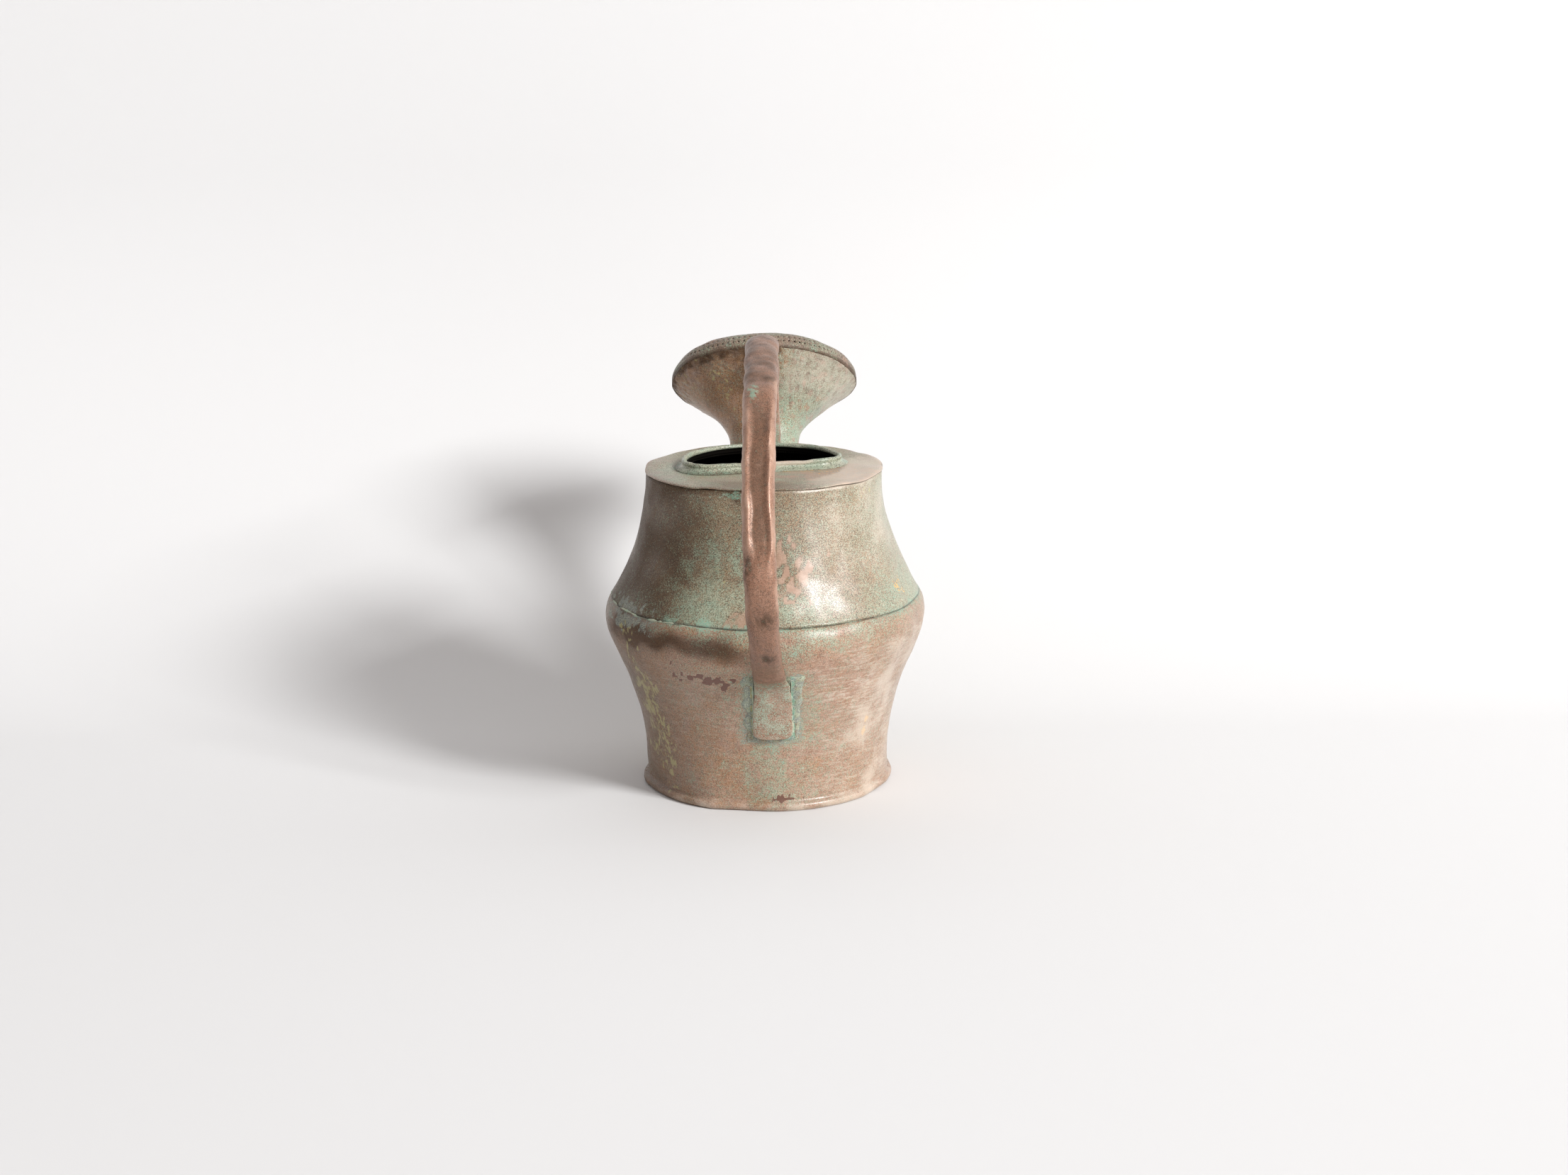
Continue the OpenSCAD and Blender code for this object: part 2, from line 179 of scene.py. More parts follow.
def grid(name, rows, slot, *nodes, loop_n=True, loop_m=True, caps=False):
    """A mesh over rows of points, each loop closed on itself where asked."""
    n, m, _ = rows.shape
    faces = grid_faces(n, m, loop_n, loop_m).tolist()
    if caps:
        faces += [list(range(m - 1, -1, -1)), [(n - 1) * m + k for k in range(m)]]
    obj = piece(name, rows.reshape(-1, 3), faces, slot, *nodes)
    return face_out(obj)


def face_out(obj):
    """Turns every face outward."""
    b = bmesh.new()
    b.from_mesh(obj.data)
    bmesh.ops.recalc_face_normals(b, faces=b.faces)
    b.to_mesh(obj.data)
    b.free()
    return obj


def turned(outline, count):
    """Rows of points of an outline of [radius, height] turned about Z. Angle 0 is the handle's side."""
    a = circle(count)
    r, z = outline[:, 0][:, None], outline[:, 1][:, None]
    return np.stack([r * np.sin(a), -r * np.cos(a), z + 0 * a], -1)


def where(obj):
    co = np.zeros(len(obj.data.vertices) * 3)
    obj.data.vertices.foreach_get("co", co)
    return co.reshape(-1, 3) / MM


def wear_light_and_shade(obj, patches={}, **layers):
    """
    Stores how strongly each layer of weathering, painted shade and painted light shows at each point of a
    mesh: the values given for the layer, and its patches, each a row of its strength and then what patch_of
    takes.
    """
    p = where(obj)
    for layer in dict.fromkeys([*layers, *patches]):
        values = layers.get(layer, 0) * np.ones(len(p))
        for strength, *place in patches.get(layer, ()):
            values = values + strength * patch_of(p, *place)
        data = obj.data.attributes.new(layer, "FLOAT", "POINT")
        data.data.foreach_set("value", np.clip(values, 0, 1).astype(np.float32))


# ---------------------------------------------------------------- the body's shape and its dents

def round_body(points):
    """Angle in degrees from the handle's side, towards +X, and radius."""
    return np.degrees(np.arctan2(points[:, 0], -points[:, 1])), np.hypot(points[:, 0], points[:, 1])


def around(points, angle, z, wide, high):
    """Distance from a place on the body, as a share of an oval's half-width and half-height."""
    a, r = round_body(points)
    turn = (a - angle + 180) % 360 - 180
    return np.hypot(np.radians(turn) * np.maximum(r, 1) / wide, (points[:, 2] - z) / high)


def patch_of(points, angle, z, wide, high, seed, ragged=0.35, size=14):
    """1 inside a ragged oval on the body and 0 outside it."""
    d = around(points, angle, z, wide, high) + ragged * lumps(points, size, seed)
    return smooth(1.25 - d, 0, 0.5)


# Each dent is [angle, height, half-width, half-height, depth]
DENTS = [
    [-22, 134, 32, 11, 2.6], [-52, 128, 24, 14, 1.2], [-9, 2, 21, 26, 3.4], [-26, 2, 9, 22, -1.0],
    [-50, 214, 34, 40, 1.3], [22, 196, 26, 34, -0.8], [33, 118, 30, 16, 0.9], [64, 80, 30, 26, 0.8],
    [112, 148, 26, 16, 1.8], [150, 212, 30, 30, 1.6], [-118, 120, 30, 24, 2.2], [-150, 60, 34, 24, 1.4],
    [95, 40, 24, 22, 1.5], [-95, 30, 20, 26, 1.3], [-140, 222, 22, 22, 1.5], [168, 12, 26, 16, 1.6]]
SHOULDER_FLAT = [-6, 252, 52, 20, 5.2]


def battered(points):
    """The dents and waves of the old body, applied to points on or near its wall."""
    points = np.array(points, float)
    shape = points.shape
    p = points.reshape(-1, 3)
    r = np.hypot(p[:, 0], p[:, 1])
    push = 0.45 * lumps(p, 60, 11) + 0.12 * lumps(p, 16, 12)
    for *place, depth in [*DENTS, SHOULDER_FLAT]:
        flat = np.exp(-around(p, *place) ** 2)
        push = push - depth * flat
    edge = smooth(r, 50, 92)
    out = p.copy()
    out[:, :2] *= (1 + push * edge / np.maximum(r, 1))[:, None]
    out[:, 2] += (1.2 * flat + 0.25 * lumps(p, 45, 13) * smooth(p[:, 2], 20, 60)) * smooth(r, 66, 90)
    return out.reshape(shape)


def lower_outline():
    """Outer profile from the foot to the seam, as [radius, height]."""
    flare = bezier([FOOT_R, WALL_FOOT_Z], [FOOT_R, 0.62 * GIRTH_Z], [GIRTH_R, 0.81 * GIRTH_Z],
                   [GIRTH_R, GIRTH_Z], 60)
    rise = SEAM_Z - GIRTH_Z
    bulge_r = (rise ** 2 + SEAM_TURN_IN ** 2) / (2 * SEAM_TURN_IN)
    turn = math.degrees(math.asin(rise / bulge_r))
    bulge = arc([GIRTH_R - bulge_r, GIRTH_Z], bulge_r, 0, turn, 10)
    return np.concatenate([flare, bulge[1:]])


def upper_outline():
    t = np.linspace(0, 1, 56)
    seam_r = GIRTH_R - SEAM_TURN_IN
    return np.stack([TOP_R + (seam_r - TOP_R) * (1 - t) ** UPPER_TAPER,
                     SEAM_Z + (SHOULDER_Z - SEAM_Z) * t], 1)


LOWER = lower_outline()
UPPER = upper_outline()


def body_r(z):
    path = np.concatenate([LOWER, UPPER[1:]])
    return np.interp(z, path[:, 1], path[:, 0])


# ---------------------------------------------------------------- body

# Points round a turned piece, the distance between the points of its outline, and a lap's gap
AROUND, WALL_STEP, LAP_GAP = 420, 2.6, 0.05
# How far inside the wall's outer face its inside is marked; the inside is painted near black as painted shade
INSIDE_DEPTH = 0.9


def within(outline, depth):
    """Which points of a turned outline lie deeper than this inside the body's wall."""
    return np.repeat(outline[:, 0] < body_r(outline[:, 1]) - depth, AROUND)


def make_lower_shell():
    lap_z = np.linspace(SEAM_Z, SEAM_Z + LAP_H, 6)
    inside_upper = beside(UPPER, SHEET + LAP_GAP)
    lap = np.stack([np.interp(lap_z, inside_upper[:, 1], inside_upper[:, 0]), lap_z], 1)
    wall = beside(LOWER, SHEET)
    wall = wall[wall[:, 1] < SEAM_Z - 4]
    bead = arc([BEAD_RING_R, BEAD_Z], BEAD_R, 124, 414, 26)
    bead[:, 1] = np.maximum(bead[:, 1], 0)
    # the top edge rolls under by a hair at the seam, which leaves the line between the shells
    outer = LOWER.copy()
    outer[:, 0] -= 0.4 * hump(outer[:, 1], SEAM_Z, 0.9)
    outline = np.concatenate([outer, lap, (lap - [SHEET, 0])[::-1], wall[::-1], bead])
    outline = closed(outline, WALL_STEP)
    rows = battered(turned(outline, AROUND))
    obj = grid("lower_shell_skin", rows, "lower_shell", "lower_shell", "foot_wire")
    # The inside of the shell is painted near black, as painted shade.
    wear_light_and_shade(obj, inside=within(outline, INSIDE_DEPTH) & (np.repeat(outline[:, 1], AROUND) > BEAD_Z + BEAD_R))
    return obj


def make_upper_shell():
    inner = beside(UPPER, SHEET)[::-1]
    inner = inner[(inner[:, 1] >= SEAM_Z) & (inner[:, 1] <= SHOULDER_Z - SHEET)]
    outer = UPPER.copy()
    outer[:, 0] += 0.2 * hump(outer[:, 1], SEAM_Z, 1.6)
    flange = np.array([[TOP_R - FLANGE_W, SHOULDER_Z], [TOP_R - FLANGE_W, SHOULDER_Z - SHEET]])
    outline = np.concatenate([outer, flange, inner])
    outline = closed(outline, WALL_STEP)
    rows = battered(turned(outline, AROUND))
    obj = grid("upper_shell_skin", rows, "upper_shell", "upper_shell")
    # The inside of the shell is painted near black, as painted shade.
    wear_light_and_shade(obj, inside=within(outline, INSIDE_DEPTH))
    return obj


def make_base():
    """The soldered-in bottom, bent with the wall round it."""
    r, under, middle, flange_h = FOOT_R - SHEET - 2 * LAP_GAP, BASE_Z - SHEET, 0.05, 3.5
    outline = np.array([[middle, under], [r - SHEET, under], [r - SHEET, under - flange_h],
                        [r, under - flange_h], [r, BASE_Z], [middle, BASE_Z]])
    obj = grid("base_skin", battered(turned(closed(outline, 3), 240)), "base", "base_disc")
    # The top of the bottom, inside the can, is painted near black, as painted shade.
    wear_light_and_shade(obj, inside=where(obj)[:, 2] > BASE_Z - 0.6)
    return obj


def cut_out(obj, gone):
    """Takes away the faces that are marked."""
    mesh = bmesh.new()
    mesh.from_mesh(obj.data)
    mesh.faces.ensure_lookup_table()
    bmesh.ops.delete(mesh, geom=[mesh.faces[k] for k in np.nonzero(gone)[0]], context="FACES")
    mesh.to_mesh(obj.data)
    mesh.free()


def middles(obj):
    values = np.empty(len(obj.data.polygons) * 3)
    obj.data.polygons.foreach_get("center", values)
    return values.reshape(-1, 3) / MM


def pierce(obj, angle, z, size):
    """A small tear through the wall."""
    p = middles(obj)
    a = math.radians(angle)
    across = p[:, 0] * math.cos(a) + p[:, 1] * math.sin(a)
    out = p[:, 0] * math.sin(a) - p[:, 1] * math.cos(a)
    cut_out(obj, (np.hypot(across, p[:, 2] - z) < size) & (out > 50))


def bore(obj):
    """The opening of the body's wall into the spout."""
    p = middles(obj)
    line, radius = spout_line()
    gap = np.hypot(p[:, None, 1] - line[None, :, 0], p[:, None, 2] - line[None, :, 1])
    near = np.argmin(gap, axis=1)
    gap = np.hypot(gap[np.arange(len(p)), near], p[:, 0])
    cut_out(obj, (gap < radius[near] - SHEET - 0.4) & (p[:, 1] > 0))


def tube(name, path, way, out, size, slot, sides=8, **ends):
    """A round tube along a path of a changing size, from the path's own direction and one across it."""
    side = np.cross(way, out)
    a = circle(sides)
    ring = out[:, None] * np.cos(a)[None, :, None] + side[:, None] * np.sin(a)[None, :, None]
    return grid(name, path[:, None] + ring * size[:, None, None], slot, **ends)


def bead_along(name, path, size, slot, seed, sides=8):
    """A lumpy bead of solder or crust along a closed line."""
    way = unit(np.roll(path, -1, 0) - np.roll(path, 1, 0))
    out = path - path.mean(0)
    out = unit(out - (out * way).sum(1)[:, None] * way)
    swell = 1 + 0.35 * lumps(path, 9, seed) + 0.21 * lumps(path, 3.5, seed + 1)
    return tube(name, path, way, out, size * np.clip(swell, 0.25, 2), slot, sides)


def make_seam_crust():
    """Old solder that shows as a low, broken line along the seam."""
    a = circle(700)
    r = GIRTH_R - SEAM_TURN_IN - 0.35
    path = np.stack([r * np.sin(a), -r * np.cos(a), SEAM_Z - 0.2 + 0 * a], 1)
    left = smooth(np.cos(a + math.radians(62)), 0.55, 0.95)
    path[:, 2] += 0.25 * lumps(path, 20, 21)
    return bead_along("seam_solder", battered(path), 0.22 + 0.4 * left, "lower_shell", 22)


# ---------------------------------------------------------------- shoulder, mouth and rim

def mouth_line(count):
    """The mouth's edge: a circle with one side pushed in. Points and outward directions in plan."""
    corner_y = MOUTH_CORNER_R - MOUTH_LIP
    corner_x = math.sqrt((MOUTH_R - MOUTH_CORNER_R) ** 2 - corner_y ** 2)
    lean = math.degrees(math.atan2(corner_y, corner_x))
    back = arc([0, 0], MOUTH_R, lean, 180 - lean, 180)
    left = arc([-corner_x, corner_y], MOUTH_CORNER_R, 180 - lean, 270, 60)
    front = np.stack([np.linspace(-corner_x, corner_x, 90), np.full(90, -float(MOUTH_LIP))], 1)
    right = arc([corner_x, corner_y], MOUTH_CORNER_R, -90, lean, 60)
    line = spaced(np.concatenate([back, left[1:], front[1:], right[1:]]), 0.6)[:-1]
    line = line[np.linspace(0, len(line), count, endpoint=False).astype(int)]
    way = unit(np.roll(line, -2, 0) - np.roll(line, 2, 0))
    out = np.stack([way[:, 1], -way[:, 0]], 1)
    c, s = math.cos(MOUTH_TURN), math.sin(MOUTH_TURN)
    turn = np.array([[c, s], [-s, c]])
    return line @ turn + [0, MOUTH_Y], out @ turn


def make_collar():
    line, out = mouth_line(AROUND)
    bead = arc([ROLL_R, RIM_H - ROLL_R], ROLL_R, 262, -35, 22)
    skirt = bezier(bead[-1], [2 * ROLL_R - 0.2, 2.6], [RIM_SKIRT_W - 4.5, 1.1], [RIM_SKIRT_W, 0.3], 14)
    foot = np.array([[RIM_SKIRT_W, 0.05], [RIM_BEAD_R, 0.05], [ROLL_R, 0.05], [ROLL_R - 0.3, 1.5]])
    section = np.concatenate([bead, skirt[1:], foot])
    u, v = section[:, 0], section[:, 1]
    flat = np.stack([line[:, 0], line[:, 1], np.zeros(AROUND)], 1)
    lean = 0.35 * lumps(flat, 40, 31)
    rise = 0.45 * lumps(flat, 34, 32) + 0.12 * lumps(flat, 9, 33)
    share = smooth(v, 0.3, RIM_H)
    rows = np.zeros((AROUND, len(section), 3))
    for k in range(2):
        rows[:, :, k] = line[:, k, None] + out[:, k, None] * (u[None] + lean[:, None] * share[None])
    rows[:, :, 2] = PLATE_TOP + v[None] + (rise[:, None] - 0.25) * share[None]
    return grid("filler_collar_skin", rows, "collar", "filler_collar", "rim_wire")


def make_plate():
    line, out = mouth_line(AROUND)
    inner = line + out * RIM_BEAD_R
    a = np.unwrap(np.arctan2(inner[:, 1], inner[:, 0]))
    rim = PLATE_R * np.stack([np.cos(a), np.sin(a)], 1)
    t = np.concatenate([np.linspace(0, 0.93, 24), [0.965, 0.985, 0.995, 1]])
    top = inner[:, None] * (1 - t)[None, :, None] + rim[:, None] * t[None, :, None]
    flat_r = np.hypot(top[..., 0], top[..., 1])
    drop = 0.55 * smooth(flat_r, PLATE_R - 3, PLATE_R) ** 2
    upper = np.concatenate([top, (PLATE_TOP - drop)[..., None]], 2)
    under = np.concatenate([top, np.full(top.shape[:2] + (1,), float(SHOULDER_Z))], 2)[:, ::-1]
    rows = np.concatenate([upper, under], 1)
    waves = lumps(rows.reshape(-1, 3), 26, 34).reshape(rows.shape[:2])
    rows[..., 2] += 0.22 * waves * smooth(np.hypot(rows[..., 0], rows[..., 1]), 66, 84)
    return grid("shoulder_plate_skin", battered(rows), "shoulder", "shoulder_plate")


# ---------------------------------------------------------------- handle

TONGUE_Z, TONGUE_X, TONGUE_W, TONGUE_T = 61.5, 5, 30, 3.2
# The tongue's clearance from the wall: the sheet behind it and the solder
SEAT = 1.55
HANDLE_W, HANDLE_D = 24, 18
BOW_Y = -(GIRTH_R + 63)
CROWN_Z = PLATE_TOP + 94
FAR_Y = (MOUTH_R + MOUTH_Y + RIM_SKIRT_W + PLATE_R + 4) / 2


def on_shell(z):
    return -(body_r(z) + SEAT + TONGUE_T / 2)


# Each station is [y, z, x, width, depth, how far it wraps round the body]
STATIONS = np.array([
    [on_shell(TONGUE_Z), TONGUE_Z, TONGUE_X, TONGUE_W, TONGUE_T, 1],
    [on_shell(TONGUE_Z + 22.5), TONGUE_Z + 22.5, TONGUE_X, TONGUE_W, TONGUE_T, 1],
    [on_shell(TONGUE_Z + 45) - 1, TONGUE_Z + 45, TONGUE_X, TONGUE_W - 3, TONGUE_T + 1.5, 0.8],
    [-(GIRTH_R + 12), TONGUE_Z + 64, TONGUE_X - 3, HANDLE_W - 1, 0.75 * HANDLE_D, 0],
    [BOW_Y + 22, TONGUE_Z + 87, 0.5, HANDLE_W - 1.5, 0.95 * HANDLE_D, 0],
    [BOW_Y + 2, SEAM_Z + 32, -1.5, HANDLE_W, HANDLE_D, 0],
    [BOW_Y, SHOULDER_Z - 36, -2.5, HANDLE_W, HANDLE_D, 0],
    [BOW_Y + 19, SHOULDER_Z + 18, -3, HANDLE_W, HANDLE_D, 0],
    [BOW_Y + 62, CROWN_Z - 29, -1.5, HANDLE_W + 1, HANDLE_D, 0],
    [BOW_Y + 124, CROWN_Z - 8, -0.5, HANDLE_W + 1.5, HANDLE_D, 0],
    [5, CROWN_Z - 0.5, 0, HANDLE_W + 1.5, HANDLE_D, 0],
    [FAR_Y - 28, CROWN_Z - 13, 1, HANDLE_W, HANDLE_D, 0],
    [FAR_Y, CROWN_Z - 50, 2, HANDLE_W - 2, 0.9 * HANDLE_D, 0],
    [FAR_Y, PLATE_TOP + 0.3, 2, HANDLE_W - 1, 0.85 * HANDLE_D, 0]])


def through(stations, steps):
    """A Catmull-Rom curve through the stations, and each point's place along it, in stations."""
    n = len(stations)
    u = np.linspace(0, n - 1, (n - 1) * steps + 1)
    i = np.minimum(u.astype(int), n - 2)
    t = (u - i)[:, None]
    a, b = stations[np.maximum(i - 1, 0)], stations[i]
    c, d = stations[i + 1], stations[np.minimum(i + 2, n - 1)]
    return 0.5 * (2 * b + (c - a) * t + (2 * a - 5 * b + 4 * c - d) * t ** 2
                  + (3 * b - a - 3 * c + d) * t ** 3), u


# Round dents of the handle: [station, share of the half-width, radius, depth]
HANDLE_DENTS = [[4.9, 0.1, 7.5, 1.3], [4.0, 0.1, 6.5, 1.0], [6.15, -0.85, 7, 1.8], [5.6, 0.3, 6, 0.7],
                [7.52, 0.75, 4, 1.6], [8.45, -0.2, 8, 0.7], [9.2, 0.5, 8, 0.6], [10.4, -0.1, 10, 0.8],
                [11.6, 0.2, 8, 0.8], [12.4, -0.3, 8, 0.7]]


def make_handle():
    path, u = through(STATIONS, 26)
    n, m = len(path), 72
    y, z, x, wide, deep, wrap = path.T
    way = unit(np.stack([np.gradient(y), np.gradient(z)], 1))
    way[-1] = [0, -1]
    across, outward = squarish(circle(m), 0.75 + 0.2 * smooth(u, 8.2, 9.4)[:, None])
    q = across * wide[:, None] / 2
    h = outward * deep[:, None] / 2
    out_face = smooth(outward, 0.15, 0.75)
    # the collapsed channel between two folds on the outer face
    run = smooth(u, 5.9, 6.5) * (1 - smooth(u, 7.75, 8.35))
    centre = -0.04 + 0.16 * smooth(u, 6.8, 6.0) + 0.05 * np.sin(u * 5)
    half = 0.56 + 0.06 * np.sin(u * 7 + 1) - 0.2 * smooth(u, 6.5, 6.0)
    off = np.abs(across - centre[:, None])
    sunk = smooth(half[:, None] + 0.18 - off, 0, 0.42) * run[:, None]
    ridge = hump(off, half[:, None] + 0.2, 0.16) * run[:, None]
    h = h - (2.7 * sunk - 0.4 * ridge) * out_face
    arc_mm = np.concatenate([[0], np.cumsum(np.hypot(np.diff(y), np.diff(z)))])
    for place, share, reach, depth in HANDLE_DENTS:
        along = arc_mm - np.interp(place, u, arc_mm)
        d2 = (along[:, None] / reach) ** 2 + ((q - share * wide[:, None] / 2) / reach) ** 2
        h = h - depth * np.exp(-d2) * out_face
    rows = np.zeros((n, m, 3))
    hug = body_r(np.minimum(z, GIRTH_Z))[:, None] + SEAT
    lap = wrap[:, None] * (hug - np.sqrt(np.maximum(hug ** 2 - q ** 2, 0)))
    rows[..., 0] = x[:, None] + q
    rows[..., 1] = y[:, None] - way[:, 1, None] * h + lap
    rows[..., 2] = z[:, None] + way[:, 0, None] * h
    # the tongue's lower corners are rounded
    flat = smooth(u, 2.0, 1.0)[:, None]
    low = smooth(u, 0.32, 0.0)[:, None]
    rows[..., 0] = x[:, None] + (rows[..., 0] - x[:, None]) * (1 - 0.22 * low ** 2.2)
    p = rows.reshape(-1, 3)
    wave = (0.28 * lumps(p, 24, 41) + 0.16 * lumps(p, 8, 42) + 0.05 * lumps(p, 3.2, 43)).reshape(n, m)
    mid = np.stack([x, y, z], 1)[:, None]
    away = rows - mid
    away /= np.maximum(np.linalg.norm(away, axis=2)[..., None], 1e-6)
    rows += away * (wave * (1 - 0.75 * flat) * smooth(u, 13.0, 12.8)[:, None])[..., None]
    obj = grid("handle_tube_skin", rows, "handle", "handle_tube", loop_n=False, caps=True)
    along = np.broadcast_to(u[:, None], (n, m)).ravel()
    paint_handle(obj, p, along, across.ravel(), outward.ravel(), ridge.ravel(), sunk.ravel())
    return obj


def paint_handle(obj, p, u, across, outward, ridge, sunk):
    torn = 0.25 + 0.75 * smooth(lumps(p, 4.5, 49), -0.5, 0.3)

    def spots(*rows):
        """Torn spots of [strength, station, share of the half-width, half-length, half-width]."""
        return sum(strength * torn * (outward > -0.2) * hump(u, place, long) * hump(across, share, wide)
                   for strength, place, share, long, wide in rows)

    outer = outward > 0
    worn = 0.5 * ridge * outer + 0.4 * smooth(np.abs(across), 0.7, 1) * smooth(u, 3, 5)
    worn += 0.3 * smooth(u, 2.6, 5) * smooth(lumps(p, 26, 44), -0.2, 1) * smooth(u, 9.4, 8.8)
    green = 2.1 * smooth(u, 2.9, 2.1) + 0.5 * sunk * outer + 0.6 * smooth(u, 11.6, 12.4)
    green += spots([1.5, 4.9, 0.1, 0.15, 0.6], [1, 4, 0.05, 0.13, 0.6], [1.2, 8.3, -0.4, 0.2, 0.36],
                   [0.7, 6.05, -0.75, 0.1, 0.4], [0.5, 8.15, 0.25, 0.07, 0.2], [0.35, 10.4, 0.3, 0.3, 0.5])
    teal = 0.45 * smooth(u, 12.0, 12.6) + 0.55 * smooth(u, 2.8, 2.0) * smooth(lumps(p, 14, 47), -0.6, 0.5)
    teal += spots([1.2, 8.3, -0.4, 0.17, 0.32], [0.4, 4.9, 0.1, 0.05, 0.25], [0.5, 6.1, -0.6, 0.05, 0.3])
    pale = 0.1 * smooth(u, 9.3, 10.2) * smooth(u, 11.3, 10.6) * outer + 0.4 * smooth(u, 2.6, 1.9)
    dark = 0.6 * smooth(u, 7.9, 8.7) * smooth(u, 12, 11) * (0.8 + 0.2 * lumps(p, 12, 48))
    dark += (0.25 * smooth(u, 6.2, 5) * smooth(u, 2.2, 2.8) + 0.55 * sunk * outer
             + 0.5 * smooth(-outward, 0.2, 0.9))
    dark += spots([0.7, 4.9, 0.1, 0.16, 0.65], [0.6, 4, 0.1, 0.14, 0.6], [0.7, 6, -0.9, 0.3, 0.5])
    wear_light_and_shade(obj, bare=worn, green=green, teal=teal, dark=dark, pale=pale)


def make_patch():
    """The sheet behind the tongue, with rounded corners and an edge washed over with solder."""
    low, top = extent("handle_patch")
    wide, high = 42, top[2] - low[2]
    ss, vv = np.meshgrid(np.linspace(-1, 1, 50), np.linspace(-1, 1, 74))
    z = low[2] + high * (vv + 1) / 2
    inward = 1 - np.maximum(np.abs(ss), np.abs(vv))
    plan = np.stack([ss * wide / 2, vv * high / 2, 0 * ss], -1).reshape(-1, 3)
    ripple = 0.08 * lumps(plan, 7, 45).reshape(ss.shape)
    lift = 0.75 * smooth(inward, 0, 0.09) + ripple * smooth(inward, 0, 0.1)
    turn = (TONGUE_X + ss * wide / 2 * (1 - 0.03 * smooth(np.abs(vv), 0.8, 1) ** 2)) / 104
    turn = turn + 0.006 * lumps(plan, 10, 46).reshape(ss.shape) * smooth(np.abs(ss), 0.7, 1)

    def face(rise):
        r = body_r(z) + rise
        return battered(np.stack([r * np.sin(turn), -r * np.cos(turn), z], -1))

    rows = np.concatenate([face(0.02 + np.maximum(lift, 0)), face(-0.1)[:, ::-1]], 1)
    return grid("handle_patch_skin", rows, "patch", "handle_patch", loop_n=False)


def make_tongue_crust():
    """Verdigris that has grown out of the joint round the tongue."""
    side, foot, round_r = TONGUE_W / 2 - 0.2, TONGUE_Z + 0.2, 5
    right = np.stack([np.full(40, side), np.linspace(TONGUE_Z + 52, foot + round_r, 40)], 1)
    low_right = arc([side - round_r, foot + round_r], round_r, 0, -90, 8)
    low_left = arc([-side + round_r, foot + round_r], round_r, -90, -180, 8)
    line = spaced(np.concatenate([right, low_right, low_left, right[::-1] * [-1, 1]]), 0.8)
    turn = (TONGUE_X + line[:, 0]) / (body_r(line[:, 1]) + 2)
    r = body_r(line[:, 1]) + 1.3
    path = battered(np.stack([r * np.sin(turn), -r * np.cos(turn), line[:, 1]], 1))
    t = np.linspace(0, 1, len(path))
    size = 0.62 * smooth(t, 0, 0.08) * smooth(t, 1, 0.92) + 0.35 * hump(t, 0.36, 0.1) + 0.05
    size = size * np.clip(1 + 0.4 * lumps(path, 8, 47) + 0.25 * lumps(path, 3, 48), 0.3, 2)
    way = unit(np.gradient(path, axis=0))
    return tube("tongue_solder", path, way, unit(path * [1, 1, 0]), size, "patch", loop_n=False, caps=True)


def make_far_solder():
    """Solder round the handle's far foot."""
    across, outward = squarish(circle(160), 0.75)
    _, _, x, wide, deep, _ = STATIONS[-1]
    path = np.stack([x + (wide / 2 + 0.4) * across, FAR_Y + (deep / 2 + 0.4) * outward,
                     np.full(160, PLATE_TOP + 0.6)], 1)
    return bead_along("far_foot_solder", battered(path), 1.1, "handle", 49)


# ---------------------------------------------------------------- spout and rose

UP_ROSE = np.array([math.cos(ROSE_TILT), math.sin(ROSE_TILT)])


def tipped(points, turn):
    """Points turned about X."""
    p = np.asarray(points, float)
    c, s = math.cos(turn), math.sin(turn)
    return np.stack([p[..., 0], c * p[..., 1] - s * p[..., 2], s * p[..., 1] + c * p[..., 2]], -1)


def in_rose_frame(points):
    """Points given about the rose's own axis, moved to where the rose is."""
    return tipped(points, ROSE_TILT - math.pi / 2) + [0, ROSE_Y, ROSE_Z]


def to_rose_frame(points):
    """Points of the can, given about the rose's own axis."""
    return tipped(points - [0, ROSE_Y, ROSE_Z], math.pi / 2 - ROSE_TILT)


def rose_wobble(points):
    """Waves and knocks of the rose, in its own frame."""
    p = np.asarray(points, float).reshape(-1, 3)
    r = np.hypot(p[:, 0], p[:, 1])
    push = 0.5 * lumps(p, 60, 51) + 0.13 * lumps(p, 15, 52)
    for *place, reach, depth in ROSE_DENTS:
        push = push - depth * np.exp(-((p - place) ** 2).sum(1) / reach ** 2)
    out = p.copy()
    out[:, :2] *= (1 + push * smooth(r, 10, 30) / np.maximum(r, 1))[:, None]
    out[:, 2] += 0.35 * lumps(p, 50, 53) * smooth(r, 20, 60) + 2.4 * smooth(-p[:, 1], 15, 80)
    return out.reshape(np.shape(points))


# Knocks of the rose: [x, y, along the axis, reach, depth], in its own frame
ROSE_DENTS = [[-52, -18, -26, 24, -2.2], [-50, -50, -6, 12, 1.1], [48, -42, -20, 16, 0.9],
              [-30, -38, -30, 14, 0.8], [60, 40, -8, 16, 1.3], [-66, 30, -4, 14, 1.2], [10, 74, -4, 14, 1.0]]


def dome_outline():
    """Half-section of the face, from the middle to the edge, as [radius, along the axis]."""
    knuckle_x = ROSE_R + LAP_GAP + SHEET - KNUCKLE_R
    cap_r = (knuckle_x ** 2 + DOME_H ** 2 - KNUCKLE_R ** 2) / (2 * (DOME_H - KNUCKLE_R))
    cap_s = DOME_H - cap_r
    turn = math.degrees(math.atan2(-cap_s, knuckle_x))
    cap = arc([0, cap_s], cap_r, 90, turn, 40)
    return np.concatenate([cap, arc([knuckle_x, 0], KNUCKLE_R, turn, 0, 16)[1:]])


def trumpet_line(steps):
    return bezier([NECK_R, -TRUMPET_H], [NECK_R + 0.5, -0.53 * TRUMPET_H],
                  [ROSE_R - 14.5, -0.33 * TRUMPET_H], [ROSE_R, 0], steps)


